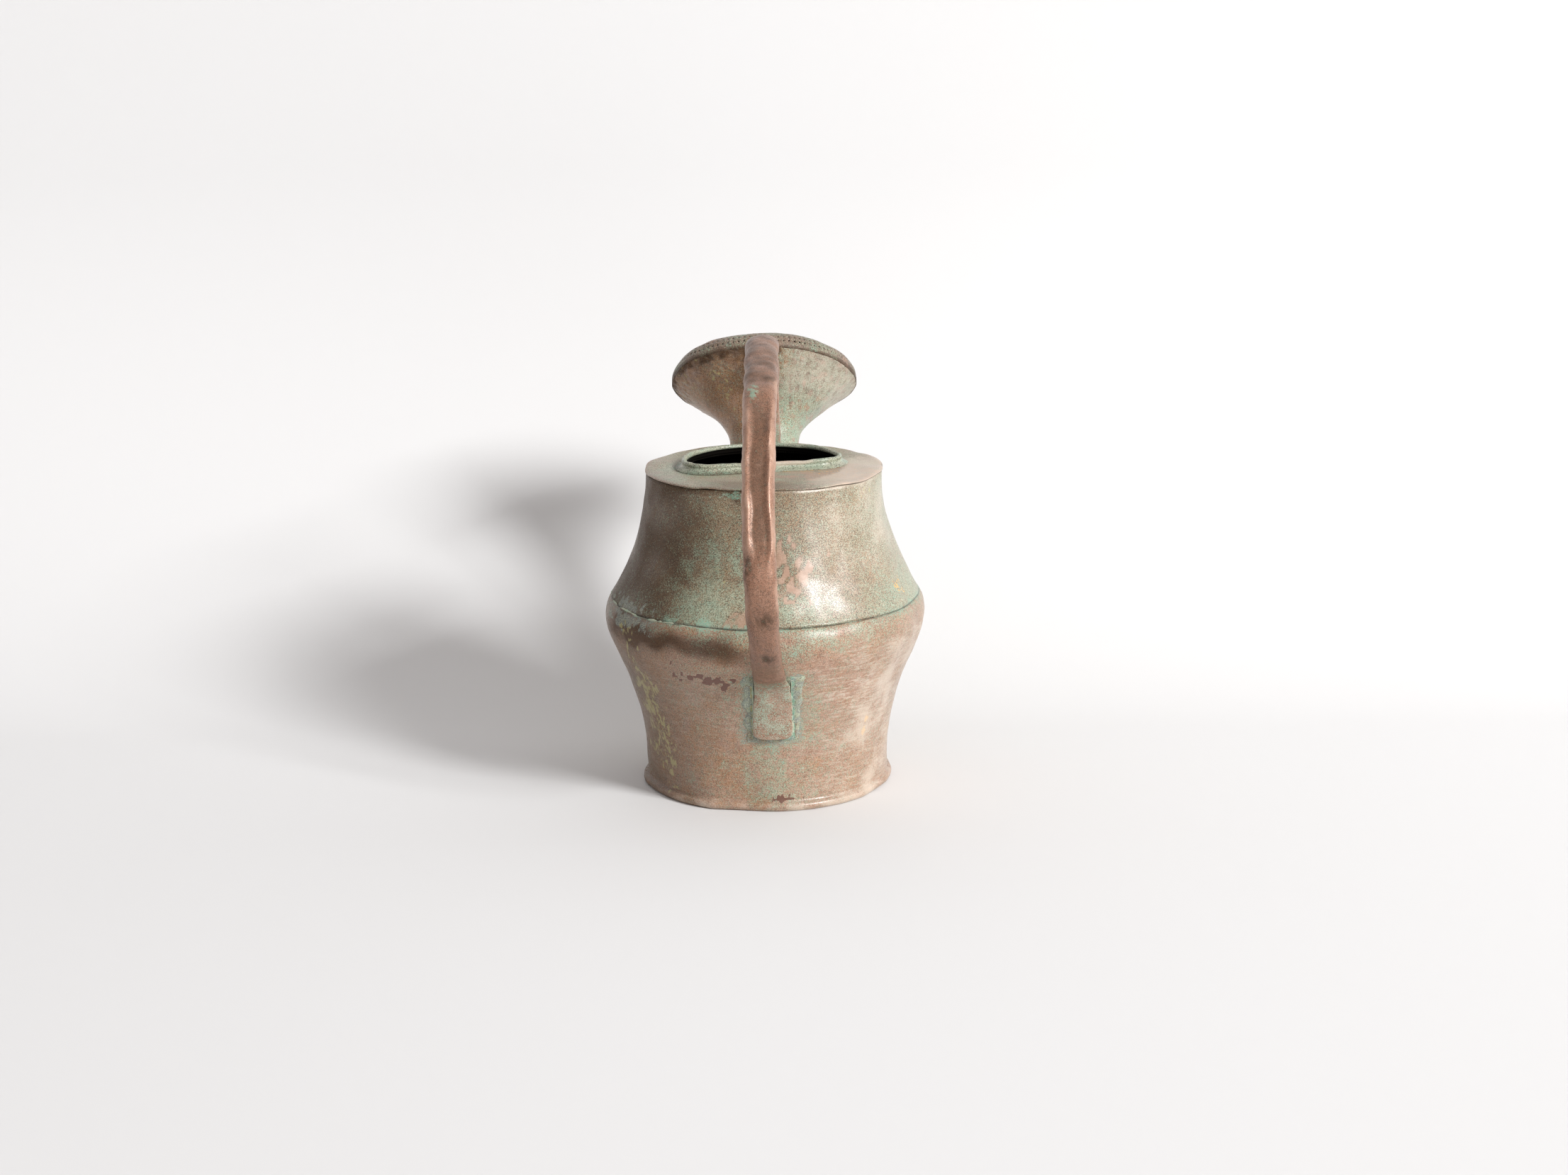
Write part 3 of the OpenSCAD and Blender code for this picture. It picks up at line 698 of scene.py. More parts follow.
def make_trumpet():
    trumpet = trumpet_line(44)
    sleeve = bezier([SLEEVE_R, -TRUMPET_H - SLEEVE_H], [SLEEVE_R + 0.2, -TRUMPET_H - SLEEVE_H / 2],
                    [NECK_R - 0.6, -TRUMPET_H - SLEEVE_H / 3], [NECK_R, -TRUMPET_H], 14)
    wall = np.concatenate([sleeve, trumpet[1:]])
    outline = np.concatenate([wall, beside(wall, SHEET)[::-1]])
    rows = in_rose_frame(rose_wobble(turned(outline, 400)))
    return grid("rose_trumpet_skin", rows, "trumpet", "rose_trumpet")


def make_rose_solder():
    """The solder run round under the lip of the face."""
    wall = trumpet_line(200)
    s = np.linspace(-3, -15, 20)
    r = np.interp(s, wall[:, 1], wall[:, 0])
    share = (s + 15) / 12
    outline = np.concatenate([[[79.4, -2.4]], np.stack([r - 0.15 + 3.6 * share ** 1.6, s], 1),
                              np.stack([r - 0.7, s], 1)[::-1]])
    rows = turned(outline, 400)
    p = rows.reshape(-1, 3)
    rows = (p + 0.18 * lumps(p, 6, 60)[:, None] * [0.6, 0.6, 1]).reshape(rows.shape)
    return grid("rose_solder", in_rose_frame(rose_wobble(rows)), "trumpet")


HOLE_R, HOLE_STEP, HOLE_MARGIN, HOLE_SIDES = 0.8, 4.75, 3.4, 10


def hole_places(reach, outline):
    """Middles of the holes on the flat map, in slightly uneven rings from the edge inwards."""
    holes = []
    ring = reach[-1] - HOLE_MARGIN
    while ring > 2:
        r = np.interp(ring, reach, outline[:, 0])
        count = max(1, int(2 * math.pi * r / HOLE_STEP))
        spin = rng.uniform(0, 1)
        for k in range(count):
            a = 2 * math.pi * (k + spin) / count + rng.normal(0, 0.06) / max(count, 6)
            d = ring + rng.normal(0, 0.12)
            holes.append([d * math.cos(a), d * math.sin(a)])
        ring -= HOLE_STEP * 0.93
    return np.array(holes)


def flat_face(reach, outline):
    """The flat map of the face: its points and its triangles, without those in the holes."""
    edge_d = reach[-1]
    full = edge_d + ROSE_LIP_H
    holes = hole_places(reach, outline)
    size = HOLE_R * rng.uniform(0.8, 1.12, len(holes))
    # on the flat map a ring is longer than on the dome near the edge, so a hole is widened to suit
    d = np.linalg.norm(holes, axis=1)
    widen = d / np.maximum(np.interp(d, reach, outline[:, 0]), 1e-6)
    a = circle(HOLE_SIDES)
    radial = holes / d[:, None]
    across = np.stack([-radial[:, 1], radial[:, 0]], 1)
    loops = (holes[:, None] + size[:, None, None] * (radial[:, None] * np.cos(a)[None, :, None]
             + (across * widen[:, None])[:, None] * np.sin(a)[None, :, None]))
    points = loops.reshape(-1, 2).tolist()
    edges = [(k * HOLE_SIDES + j, k * HOLE_SIDES + (j + 1) % HOLE_SIDES)
             for k in range(len(holes)) for j in range(HOLE_SIDES)]
    count = 360
    for ring in (edge_d - 0.9, edge_d, full - 0.4, full):
        edges += [(len(points) + j, len(points) + (j + 1) % count) for j in range(count)]
        points += [[ring * math.cos(2 * math.pi * j / count), ring * math.sin(2 * math.pi * j / count)]
                   for j in range(count)]
    # loose points between the holes keep the bent face smooth
    gx, gy = np.meshgrid(*[np.arange(-full, full, 2.4)] * 2)
    loose = np.stack([gx.ravel(), gy.ravel()], 1) + rng.uniform(-0.2, 0.2, (gx.size, 2))
    loose = loose[np.linalg.norm(loose, axis=1) < edge_d - 1.6]
    clear = np.ones(len(loose), bool)
    for middle, half, more in zip(holes, size, widen):
        clear &= np.linalg.norm(loose - middle, axis=1) > half * more + 0.7
    made = delaunay_2d_cdt([Vector(p) for p in points + loose[clear].tolist()], edges, [], 0, 1e-5)
    flat = np.array([list(p) for p in made[0]])
    tris = np.array([f for f in made[2] if len(f) == 3])
    tree = KDTree(len(holes))
    for k, hole in enumerate(holes):
        tree.insert((*hole, 0), k)
    tree.balance()
    mid = flat[tris].mean(1)
    near = np.array([tree.find((*m, 0))[1] for m in mid])
    off = mid - holes[near]
    u, v = (off * radial[near]).sum(1), (off * across[near]).sum(1) / widen[near]
    return flat, tris[(np.linalg.norm(mid, axis=1) < full) & (np.hypot(u, v) >= size[near] * 0.97)]


def make_face():
    """The domed face, with its holes cut through a flat map of it that is then bent to shape."""
    outline = dome_outline()
    reach = np.concatenate([[0], np.cumsum(np.linalg.norm(np.diff(outline, axis=0), axis=1))])
    flat, tris = flat_face(reach, outline)
    d, a = np.linalg.norm(flat, axis=1), np.arctan2(flat[:, 1], flat[:, 0])
    r = np.interp(d, reach, outline[:, 0])
    s = np.where(d <= reach[-1], np.interp(d, reach, outline[:, 1]), reach[-1] - d)
    p = np.stack([r * np.cos(a), r * np.sin(a), s], 1)
    p[:, 2] += 0.25 * lumps(p, 22, 55) * smooth(d, reach[-1], reach[-1] - 12)
    used, index = np.unique(tris, return_inverse=True)
    p = in_rose_frame(rose_wobble(p))[used]
    obj = piece("rose_face_skin", p, index.reshape(-1, 3), "rose", "rose_face")
    thick = obj.modifiers.new("sheet", "SOLIDIFY")
    thick.thickness, thick.offset = 0.9 * MM, -1
    bpy.context.view_layer.update()
    centre = Vector(in_rose_frame([0, 0, -20]) * MM)
    face = obj.data.polygons[0]
    if face.normal.dot(face.center - centre) < 0:
        obj.data.flip_normals()
    solid = bpy.data.meshes.new_from_object(obj.evaluated_get(bpy.context.evaluated_depsgraph_get()))
    obj.modifiers.clear()
    obj.data = solid
    return obj


GRIP = np.array([ROSE_Y, ROSE_Z]) - (TRUMPET_H + SLEEVE_H) * UP_ROSE
ROOT = np.array([ROOT_Y, ROOT_Z], float)
CHORD = GRIP - ROOT
ROOT_TILT = 2 * math.atan2(CHORD[1], CHORD[0]) - ROSE_TILT
PULL = np.linalg.norm(CHORD) / 3
WAIST_R = SLEEVE_R - SHEET - LAP_GAP


def spout_line():
    up = np.array([math.cos(ROOT_TILT), math.sin(ROOT_TILT)])
    line = bezier(ROOT, ROOT + PULL * up, GRIP - PULL * UP_ROSE, GRIP, 90)
    radius = WAIST_R + (SPOUT_ROOT_R - WAIST_R) * np.linspace(1, 0, 91) ** 1.2
    return np.concatenate([line, [GRIP + 14 * UP_ROSE]]), np.concatenate([radius, [WAIST_R]])


def spout_rings(inset, sides=96):
    line, radius = spout_line()
    way = unit(np.gradient(line, axis=0))
    a = circle(sides)
    r = (radius - inset)[:, None]
    return np.stack([r * np.cos(a), line[:, 0, None] - way[:, 1, None] * r * np.sin(a),
                     line[:, 1, None] + way[:, 0, None] * r * np.sin(a)], -1)


def make_spout():
    """The spout from the body's wall into the rose's sleeve, and the line where it meets the wall."""
    rings = [spout_rings(0), spout_rings(SHEET)]
    n, m, _ = rings[0].shape
    steps = 64
    rows = np.empty((2, steps, m, 3))
    for side in range(2):
        for k in range(m):
            p = rings[side][:, k]
            outside = np.hypot(p[:, 0], p[:, 1]) - body_r(p[:, 2])
            low = np.nonzero(outside > 0)[0][0]
            share = outside[low - 1] / (outside[low - 1] - outside[low])
            t = np.linspace(low - 1 + share, n - 1, steps)
            rows[side, :, k] = np.stack([np.interp(t, np.arange(n), p[:, c]) for c in range(3)], 1)
    outer, inner = rows
    root = battered(outer[0])
    flat = outer.reshape(-1, 3)
    swell = (0.35 * lumps(flat, 40, 56) + 0.1 * lumps(flat, 12, 57)).reshape(steps, m)
    fade = np.sin(np.linspace(0, math.pi, steps)) ** 0.5
    outer = outer + unit(outer - outer.mean(1)[:, None]) * (swell * fade[:, None])[..., None]
    return grid("spout_tube_skin", np.concatenate([outer, inner[::-1]]), "spout", "spout_tube"), root


def make_spout_solder(root):
    return bead_along("spout_root_solder", closed(root, 1.0), 2.1, "spout", 58, sides=12)


def make_sleeve_solder():
    a, r = circle(220), WAIST_R + 0.5
    ring = np.stack([r * np.cos(a), r * np.sin(a), np.full(220, -(TRUMPET_H + SLEEVE_H) + 0.2)], 1)
    return bead_along("sleeve_solder", in_rose_frame(rose_wobble(ring)), 1.0, "spout", 59)


# ---------------------------------------------------------------- materials

# Dark of the pits, also the colour of painted shade in narrow gaps
PIT_AND_GAP_SHADE = (0.035, 0.026, 0.020)
# Dark oxide, also the colour of painted shade where the dark layer holds it
OXIDE_AND_SHADE = (0.080, 0.050, 0.032)
BROWN = (0.25, 0.150, 0.100)
PINK = (0.50, 0.325, 0.25)
GREY_GREEN = (0.34, 0.345, 0.225)
GREEN = (0.24, 0.36, 0.25)
TEAL = (0.12, 0.40, 0.30)
PALE = (0.62, 0.54, 0.44)
BLOOM = (0.50, 0.53, 0.40)
FLAKE = (0.145, 0.055, 0.035)
YELLOW = (0.42, 0.38, 0.17)
ORANGE = (0.38, 0.17, 0.05)
SLATE = (0.13, 0.15, 0.165)
COPPER = (0.55, 0.37, 0.28)
RED_COPPER = (0.44, 0.27, 0.19)
AMBER = (0.70, 0.38, 0.07)
CREAM = (0.60, 0.50, 0.40)
# Near black for the can's inside, which is painted shade
INSIDE_SHADE = (0.007, 0.006, 0.005)
# How many of the finest grains there are to a metre
GRAIN = 1150


class Shade:
    """Short calls for building one material's nodes. Its colour is built up by laying one over another."""

    def __init__(self, name, colour=None):
        self.material = bpy.data.materials.new(name)
        self.material.use_nodes = True
        self.tree = self.material.node_tree
        self.shader = self.tree.nodes["Principled BSDF"]
        self.place = self.add("ShaderNodeTexCoord").outputs["Object"]
        self.colour = colour

    def add(self, kind, **settings):
        node = self.tree.nodes.new(kind)
        for key, value in settings.items():
            setattr(node, key, value)
        return node

    def put(self, node, values):
        """Sets a node's inputs, each to a value or to another node's output."""
        for key, value in values.items():
            if isinstance(value, bpy.types.NodeSocket):
                self.tree.links.new(value, node.inputs[key])
            else:
                is_colour = node.inputs[key].type == "RGBA" and len(value) == 3
                node.inputs[key].default_value = (*value, 1) if is_colour else value
        return node

    def math(self, operation, a, b=0.0, clamp=False):
        node = self.add("ShaderNodeMath", operation=operation, use_clamp=clamp)
        return self.put(node, {0: a, 1: b}).outputs[0]

    def times(self, a, b, clamp=False):
        return self.math("MULTIPLY", a, b, clamp)

    def rest(self, a, clamp=False):
        """What is left of 1."""
        return self.math("SUBTRACT", 1.0, a, clamp)

    def add_up(self, *parts, plus=0.0):
        """The sum of sockets, each times its share."""
        for socket, share in parts:
            node = self.add("ShaderNodeMath", operation="MULTIPLY_ADD")
            plus = self.put(node, {0: socket, 1: share, 2: plus}).outputs[0]
        return plus

    def noise(self, scale, detail=2.0, rough=0.5, stretch=(1, 1, 1), shift=0.0, warp=0.0):
        spot = self.put(self.add("ShaderNodeMapping"), {
            "Vector": self.place, "Scale": stretch, "Location": (shift, shift * 0.7, shift * 1.3)})
        return self.put(self.add("ShaderNodeTexNoise"), {
            "Vector": spot.outputs[0], "Scale": scale, "Detail": detail, "Roughness": rough,
            "Distortion": warp}).outputs["Fac"]

    def step(self, value, low, high, out_high=1.0):
        return self.put(self.add("ShaderNodeMapRange", interpolation_type="SMOOTHSTEP"), {
            "Value": value, "From Min": low, "From Max": high, "To Max": out_high}).outputs["Result"]

    def mix(self, share, a, b):
        return self.put(self.add("ShaderNodeMix", data_type="RGBA"), {
            "Factor": share, "A": a, "B": b}).outputs["Result"]

    def cover(self, colour, mask, strength=1):
        """Lays a colour over what is there, where the mask is."""
        self.colour = self.mix(mask if strength == 1 else self.times(mask, strength), self.colour, colour)

    def layer(self, name):
        return self.add("ShaderNodeAttribute", attribute_name=name).outputs["Fac"]

    def patchy(self, name, noise, gain=1.0, soft=0.12):
        """A painted layer broken up by noise: 0 where unpainted, ragged at its edge, solid where strong."""
        threshold = self.math("SUBTRACT", 0.78, self.times(self.times(self.layer(name), gain), 0.56))
        low, high = self.math("SUBTRACT", threshold, soft), self.math("ADD", threshold, soft)
        return self.times(self.step(noise, low, high), self.step(self.layer(name), 0.0, 0.12))


def copper(name, green=0.45, pits=0.8, gloss=0.3, brush=(0.1, 0.1, 1.0), metal=0.0, relief=1.0,
           orange=0.0, warm=BROWN, pink=0.5, sheen=0.35, salt=0.3, seam=False):
    """Old copper: brown oxide over pink metal, grains of verdigris, and the weathering, painted shade and
    painted light stored on the mesh.
    """
    s = Shade(name, warm)
    fine = s.noise(GRAIN, 2.0, 0.6)
    gaps = s.noise(GRAIN * 1.15, 2.0, 0.6, shift=3.1)
    grit = s.noise(GRAIN * 0.38, 3.0, 0.65, shift=6.1)
    mid = s.noise(130, 4.0, 0.62, shift=1.7)
    broad = s.noise(27, 4.0, 0.55, shift=5.3, warp=0.5)
    wide = s.noise(11, 2.0, 0.5, shift=9.1)
    line = s.noise(620, 4.0, 0.66, stretch=brush, shift=2.2, warp=0.5)
    curl = s.noise(300, 3.0, 0.6, stretch=(0.3, 0.3, 1.0), shift=7.7, warp=1.6)
    stain_and_shade, rub, inside = s.layer("dark"), s.layer("streak"), s.layer("inside")

    # brown oxide that thins to the pink of the metal
    s.cover(PINK, s.step(s.add_up((broad, 0.6), (mid, 0.4)), 0.32, 0.74), pink)
    if orange:
        cloud = s.add_up((s.noise(48, 4.0, 0.66, shift=12.4, warp=0.5), 1.0), (s.layer("rust"), 0.16))
        s.cover(ORANGE, s.step(cloud, 0.44, 0.72, orange))
    s.cover(OXIDE_AND_SHADE, s.step(grit, 0.48, 0.64), 0.35)
    # dark oxide where the dark layer is painted; that layer is partly painted shade
    s.cover(OXIDE_AND_SHADE, s.patchy("dark", s.add_up((mid, 0.4), (broad, 0.35), (fine, 0.25)), soft=0.3), 0.8)

    # brushed streaks: pale bloom and pink metal in turn, with dark lines between them
    mark = s.add_up((line, 0.7), (curl, 0.3))
    s.cover(s.mix(s.step(curl, 0.40, 0.58), PINK, PALE),
            s.times(s.step(mark, 0.44, 0.60), s.times(rub, 0.62)))
    s.cover(BROWN, s.times(s.step(mark, 0.47, 0.40), s.times(rub, 0.45)))

    # verdigris in fine grains, closer together where it is painted
    level = s.add_up((s.layer("green"), 0.34), (broad, 0.2), (mid, 0.16), (grit, 0.1), (wide, 0.12),
                     (s.layer("bare"), -0.5), (stain_and_shade, -0.25), plus=green - 0.29)
    over = s.math("SUBTRACT", s.add_up((fine, 0.72), (grit, 0.28)), s.add_up((level, -0.34), plus=0.665))
    grains, bloom = s.step(over, -0.035, 0.04), s.step(over, 0.07, 0.16)
    hue = s.step(s.add_up((wide, 0.35), (broad, 0.25), (mid, 0.4), (s.layer("green"), 0.12)), 0.42, 0.72)
    crystal = s.mix(s.times(s.layer("teal"), 0.55), s.mix(hue, GREY_GREEN, GREEN), TEAL)
    s.cover(s.mix(s.times(bloom, 0.7), crystal, BLOOM), grains, 0.85)

    # pale and dark grains between them
    s.cover(PALE, s.times(s.step(gaps, 0.48, 0.38), s.times(s.rest(stain_and_shade), salt, clamp=True)))
    # painted shade, partly: a smooth darkening wherever the dark layer is painted
    s.cover(OXIDE_AND_SHADE, s.times(stain_and_shade, 0.42, clamp=True))
    bare = s.patchy("bare", s.add_up((mid, 0.5), (fine, 0.5)), soft=0.13)
    pit = s.times(s.step(gaps, 0.51, 0.60), s.math("SUBTRACT", pits, s.times(bloom, 0.5)), clamp=True)
    pit = s.times(pit, s.rest(s.times(rub, 0.6)), clamp=True)
    pit = s.times(pit, s.rest(s.times(bare, 0.85)))
    s.cover(PIT_AND_GAP_SHADE, pit)

    # local layers
    s.cover(s.mix(s.step(mid, 0.4, 0.6), COPPER, RED_COPPER), bare, 0.7)
    teal = s.patchy("teal", s.add_up((fine, 0.65), (mid, 0.35)))
    s.cover(s.mix(s.step(gaps, 0.42, 0.6), TEAL, BLOOM), teal, 0.6)
    crust = s.patchy("crust", s.add_up((fine, 0.5), (grit, 0.3), (mid, 0.2)), soft=0.1)
    s.cover(s.mix(s.step(gaps, 0.44, 0.62), SLATE, BLOOM), crust, 0.7)
    blots = s.noise(330, 2.0, 0.45, stretch=(1, 1, 0.6), shift=4.4, warp=0.4)
    s.cover(YELLOW, s.patchy("yellow", blots, gain=0.55, soft=0.05), 0.62)
    scales = s.noise(330, 4.0, 0.62, stretch=(0.4, 0.4, 1), shift=6.6, warp=0.3)
    flake = s.patchy("flake", scales, soft=0.015)
    s.cover(FLAKE, flake, 0.93)
    s.cover(AMBER, s.patchy("orange", s.noise(520, 2.0, 0.5, shift=8.8), soft=0.03), 0.9)
    s.cover(CREAM, s.patchy("pale", s.add_up((fine, 0.6), (mid, 0.4)), soft=0.2), 0.7)
    # Painted shade in narrow gaps: a thin dark line in the lap at the seam, and the plate's edge.
    crack = s.layer("crack")
    if seam:
        height = s.put(s.add("ShaderNodeSeparateXYZ"), {0: s.place}).outputs["Z"]
        gap = s.math("ABSOLUTE", s.math("SUBTRACT", height, SEAM_Z * MM))
        wander = s.times(s.math("SUBTRACT", mid, 0.5), 0.0006)
        crack = s.times(s.step(s.math("ADD", gap, wander), 0.0007, 0.0002), crack)
    s.cover(PIT_AND_GAP_SHADE, crack)
    # painted shade: the can's inside is painted near black
    s.cover(INSIDE_SHADE, inside)

    growth = s.math("MAXIMUM", teal, crust)
    rough = s.add_up((grains, 0.16), (mid, 0.25), (pit, 0.2), (bare, 0.2), (growth, 0.2), (inside, 0.4),
                     plus=gloss - 0.125)
    shine = s.math("MAXIMUM", s.add_up((grains, -metal), plus=metal), 0.0)
    # no coat or specular where the inside is painted near black or the dark layer holds painted shade
    clean = s.rest(s.math("MAXIMUM", inside, s.times(stain_and_shade, 0.9)), clamp=True)
    height = s.add_up((grains, 0.5), (pit, -0.8), (mid, 0.9), (growth, 1.1), (flake, -0.9), (crack, -1.5),
                      (line, 0.5))
    bump = s.put(s.add("ShaderNodeBump"), {"Strength": 0.5 * relief, "Distance": 0.0002, "Height": height})
    s.put(s.shader, {
        "Base Color": s.colour, "Roughness": rough, "Normal": bump.outputs["Normal"],
        "Metallic": s.times(shine, s.rest(s.times(stain_and_shade, 0.8), clamp=True)),
        "Coat Weight": s.times(clean, sheen), "Coat Roughness": 0.34,
        "Specular IOR Level": s.times(clean, 0.5)})
    return s.material


def dress(objs, name, **settings):
    material = copper(name, **settings)
    for obj in objs:
        obj.data.materials.clear()
        obj.data.materials.append(material)


# ---------------------------------------------------------------- weathering, painted shade and painted light on the pieces

# Patches by layer, each [strength, angle, height, half-width, half-height, seed, raggedness, size of lumps]
LOWER_PATCHES = {
    "green": [[0.35, -12, 138, 26, 12, 62], [0.35, 6, 60, 30, 60, 63], [0.1, -66, 70, 34, 60, 64],
              [0.4, 8, 135, 12, 8, 66], [0.4, 26, 140, 34, 10, 124], [0.35, 3, 30, 16, 26, 67]],
    "teal": [[0.5, 10, 134, 5, 3, 69], [0.7, 7.5, 41, 2, 3, 70], [0.25, -11, 84, 4, 30, 71],
             [0.3, 3, 52, 8, 5, 72]],
    # the dark patch below the seam on the left is partly painted shade in the dent there
    "dark": [[0.4, -12, 130, 24, 10, 74, 0.2, 24]],
    "bare": [[0.3, 22, 122, 16, 9, 80], [0.2, 40, 96, 26, 12, 81], [0.3, 14, 46, 14, 7, 82],
             [0.3, -14, 55, 14, 8, 83]],
    "yellow": [[0.75, -58, 100, 14, 30, 85], [0.75, -58, 52, 18, 36, 86]],
    "rust": [[0.8, -30, 60, 20, 40, 100], [0.8, -16, 12, 22, 9, 123]],
    "flake": [[0.85, -28, 112, 12, 2.6, 88, 0.5, 7], [0.9, -18.5, 110, 8, 2.6, 89, 0.6, 6],
              [0.7, -37, 121, 5, 1.6, 90, 0.5, 5], [0.8, -16, 105.5, 5, 3.4, 91, 0.6, 5],
              [0.9, 8.5, 10, 7.5, 2.2, 92, 0.5, 5], [0.75, 130, 96, 12, 6, 96, 0.6, 8],
              [0.75, -132, 118, 12, 6, 118, 0.6, 8], [0.75, 172, 60, 12, 6, 60, 0.6, 8]],
    "orange": [[0.9, 49.8, 67, 2.4, 2.2, 93], [0.9, 49.4, 56, 2.4, 2.4, 94]],
    "crust": [[0.75, -64, 147, 24, 5, 95, 0.5, 8], [0.5, -50, 148, 14, 5, 96, 0.5, 8]]}
UPPER_PATCHES = {
    "green": [[0.55, -24, 172, 34, 30, 101], [0.35, -26, 205, 30, 34, 102], [0.3, 4, 200, 22, 40, 103]],
    "teal": [[0.3, -25, 164, 18, 9, 105, 0.5, 10], [0.55, -15, 249, 10, 3.5, 106, 0.5, 6],
             [0.25, 60, 165, 22, 10, 107]],
    "dark": [[0.5, -8, 250, 12, 10, 110]],
    "bare": [[0.66, 9.5, 193, 12, 13, 112, 0.7, 7], [0.4, 10, 178, 6, 4, 113, 0.6, 6],
             [0.2, 30, 172, 24, 18, 114], [0.55, -9, 158, 10, 5, 116, 0.5, 8]],
    "crust": [[0.75, -64, 156, 24, 4, 117, 0.55, 7], [0.35, -75, 185, 14, 30, 118]],
    "yellow": [[0.35, -21, 195, 14, 8, 119], [0.55, 60, 244, 10, 6, 120]],
    "orange": [[0.4, 66, 168, 8, 8, 121]]}
PLATE_PATCHES = {"bare": [[0.5, 62, PLATE_TOP, 30, 30, 133]], "orange": [[0.25, 66, PLATE_TOP, 16, 16, 134]]}


def on_body(obj):
    """A piece's points, and their angle round the body, radius and height."""
    p = where(obj)
    return p, *round_body(p), p[:, 2]


def patch_halo(p):
    """How close each point lies to the edge of the sheet behind the tongue, outside it: 1 at the edge."""
    low, high = extent("handle_patch")
    off = np.maximum(np.maximum(low - p, p - high)[:, [0, 2]], 0)
    gap = np.linalg.norm(off, axis=1) * (1 + 0.3 * lumps(p, 9, 99))
    return (p[:, 1] < 0) * hump(gap, 0, 3.2)


def paint_lower(obj):
    p, a, r, z = on_body(obj)
    turn = np.abs(a)
    right = smooth(a, 4, 40)
    shadow = smooth(-a, 120, 90)
    halo = patch_halo(p)
    green = 0.5 * smooth(z, SEAM_Z - 14 + 5 * lumps(p, 22, 61), SEAM_Z - 2) + 0.5 * halo
    green += 0.5 * smooth(turn, 85, 120) * (0.5 + 0.5 * lumps(p, 40, 65))
    teal = 0.8 * hump(z, SEAM_Z, 3) * (0.35 + 0.65 * smooth(lumps(p, 17, 68), -0.3, 0.5))
    teal *= smooth(a, -52, -36) * smooth(a, 20, 2)
    teal += (0.55 * hump(z, SEAM_Z, 2.4) * smooth(a, 38, 50)
             + 0.4 * hump(z, SEAM_Z, 3) * smooth(turn, 100, 130))
    # Painted shade, partly: the dark band below the seam on the left, over the dent there, is a stain with
    # the dent's shade painted into it, and the left side, away from the key light, is painted darker; the
    # lumps towards the back are dark oxide.
    dark = 0.85 * hump(z, 138.5 + 3 * lumps(p, 30, 73), 8) * smooth(-a, 2, 20) * smooth(-a, 80, 55)
    dark += (0.6 * smooth(-a, 20, 62) * shadow
             + 0.4 * smooth(lumps(p, 55, 77), 0.4, 1.4) * smooth(turn, 70, 110))
    streak = 0.95 * right * smooth(z, 148, 134) * smooth(z, 30, 60) + 0.5 * right * smooth(z, 60, 20)
    streak *= 0.55 + 0.45 * smooth(lumps(p, 34, 78), -0.8, 0.6)
    streak += 0.3 * smooth(z, 140, 110) + 0.35 * smooth(turn, 90, 120) * smooth(lumps(p, 50, 79))
    pale = 0.5 * smooth(z, 9, 5) * smooth(turn, 75, 40) * (0.7 + 0.3 * lumps(p, 16, 97))
    # Painted light: the right side, where the key light falls, is painted paler.
    lit_right_side = 0.55 * smooth(a, 22, 48) * smooth(a, 95, 70) * smooth(z, 144, 120)
    pale += lit_right_side * (0.7 + 0.3 * lumps(p, 26, 98))
    wear_light_and_shade(obj, LOWER_PATCHES, green=green, teal=teal + 0.22 * halo, dark=dark, streak=streak, pale=pale,
         crust=0.55 * halo, bare=0.45 * hump(z, 4.5, 3) * smooth(lumps(p, 14, 84), -0.2, 0.6),
         yellow=0.4 * smooth(lumps(p, 60, 87), 0.5, 1.5) * smooth(turn, 90, 130),
         # painted shade in the gap at the seam, stronger on the left, away from the key light
         crack=(r > body_r(z) - 0.8) * (0.45 + 0.5 * smooth(-a, 10, 40) * smooth(-a, 110, 80)),
         rust=1.6 * smooth(-a, 30, 50) * shadow * smooth(z, 150, 120))


def paint_upper(obj):
    p, a, _, z = on_body(obj)
    turn = np.abs(a)
    green = 0.35 * smooth(z, 182, 160) + 0.3 * smooth(a, 40, 80) + 0.5 * smooth(turn, 90, 130)
    green += 0.25 * smooth(a, 18, 50) * smooth(z, 190, 215)
    teal = 0.75 * hump(z, SEAM_Z + 1, 4) * (0.3 + 0.7 * smooth(lumps(p, 12, 104), -0.3, 0.5))
    teal *= smooth(a, -46, -34) * smooth(a, 6, -6)
    teal += 0.6 * hump(z, SEAM_Z, 2.2) * smooth(a, 40, 52) + 0.35 * hump(z, SEAM_Z, 4) * smooth(turn, 95, 120)
    # Painted shade: the left side, away from the key light, is painted darker. The band just under the
    # plate's edge is darker on the left and front, and the lumps towards the back are dark oxide.
    dark = 1.1 * smooth(-a, 16, 50) * smooth(-a, 120, 85) * (0.85 + 0.12 * lumps(p, 40, 108))
    dark += 0.35 * smooth(np.abs(a + 10), 40, 10) * smooth(z, 172, 190)
    dark += 0.45 * smooth(z, 246, 252) * smooth(-a, -10, 20)
    dark += 0.35 * smooth(lumps(p, 55, 111), 0.5, 1.4) * smooth(turn, 70, 110)
    # Painted highlight along the shell's top edge towards the right, and painted light: higher up, the right
    # side, where the key light falls, is painted paler.
    pale = 0.5 * smooth(z, 250.2, 252) * smooth(np.abs(a - 30), 50, 20)
    lit_right_side = 0.5 * smooth(a, 12, 40) * smooth(a, 100, 70) * smooth(z, 176, 200)
    pale += lit_right_side * (0.8 + 0.2 * lumps(p, 30, 122))
    wear_light_and_shade(obj, UPPER_PATCHES, green=green, teal=teal, dark=dark, pale=pale,
         # painted shade in the lap at the seam, stronger on the left
         crack=0.5 + 0.3 * smooth(-a, 20, 60), streak=0.25 * smooth(a, 10, 50),
         rust=1.2 * smooth(-a, 30, 60))


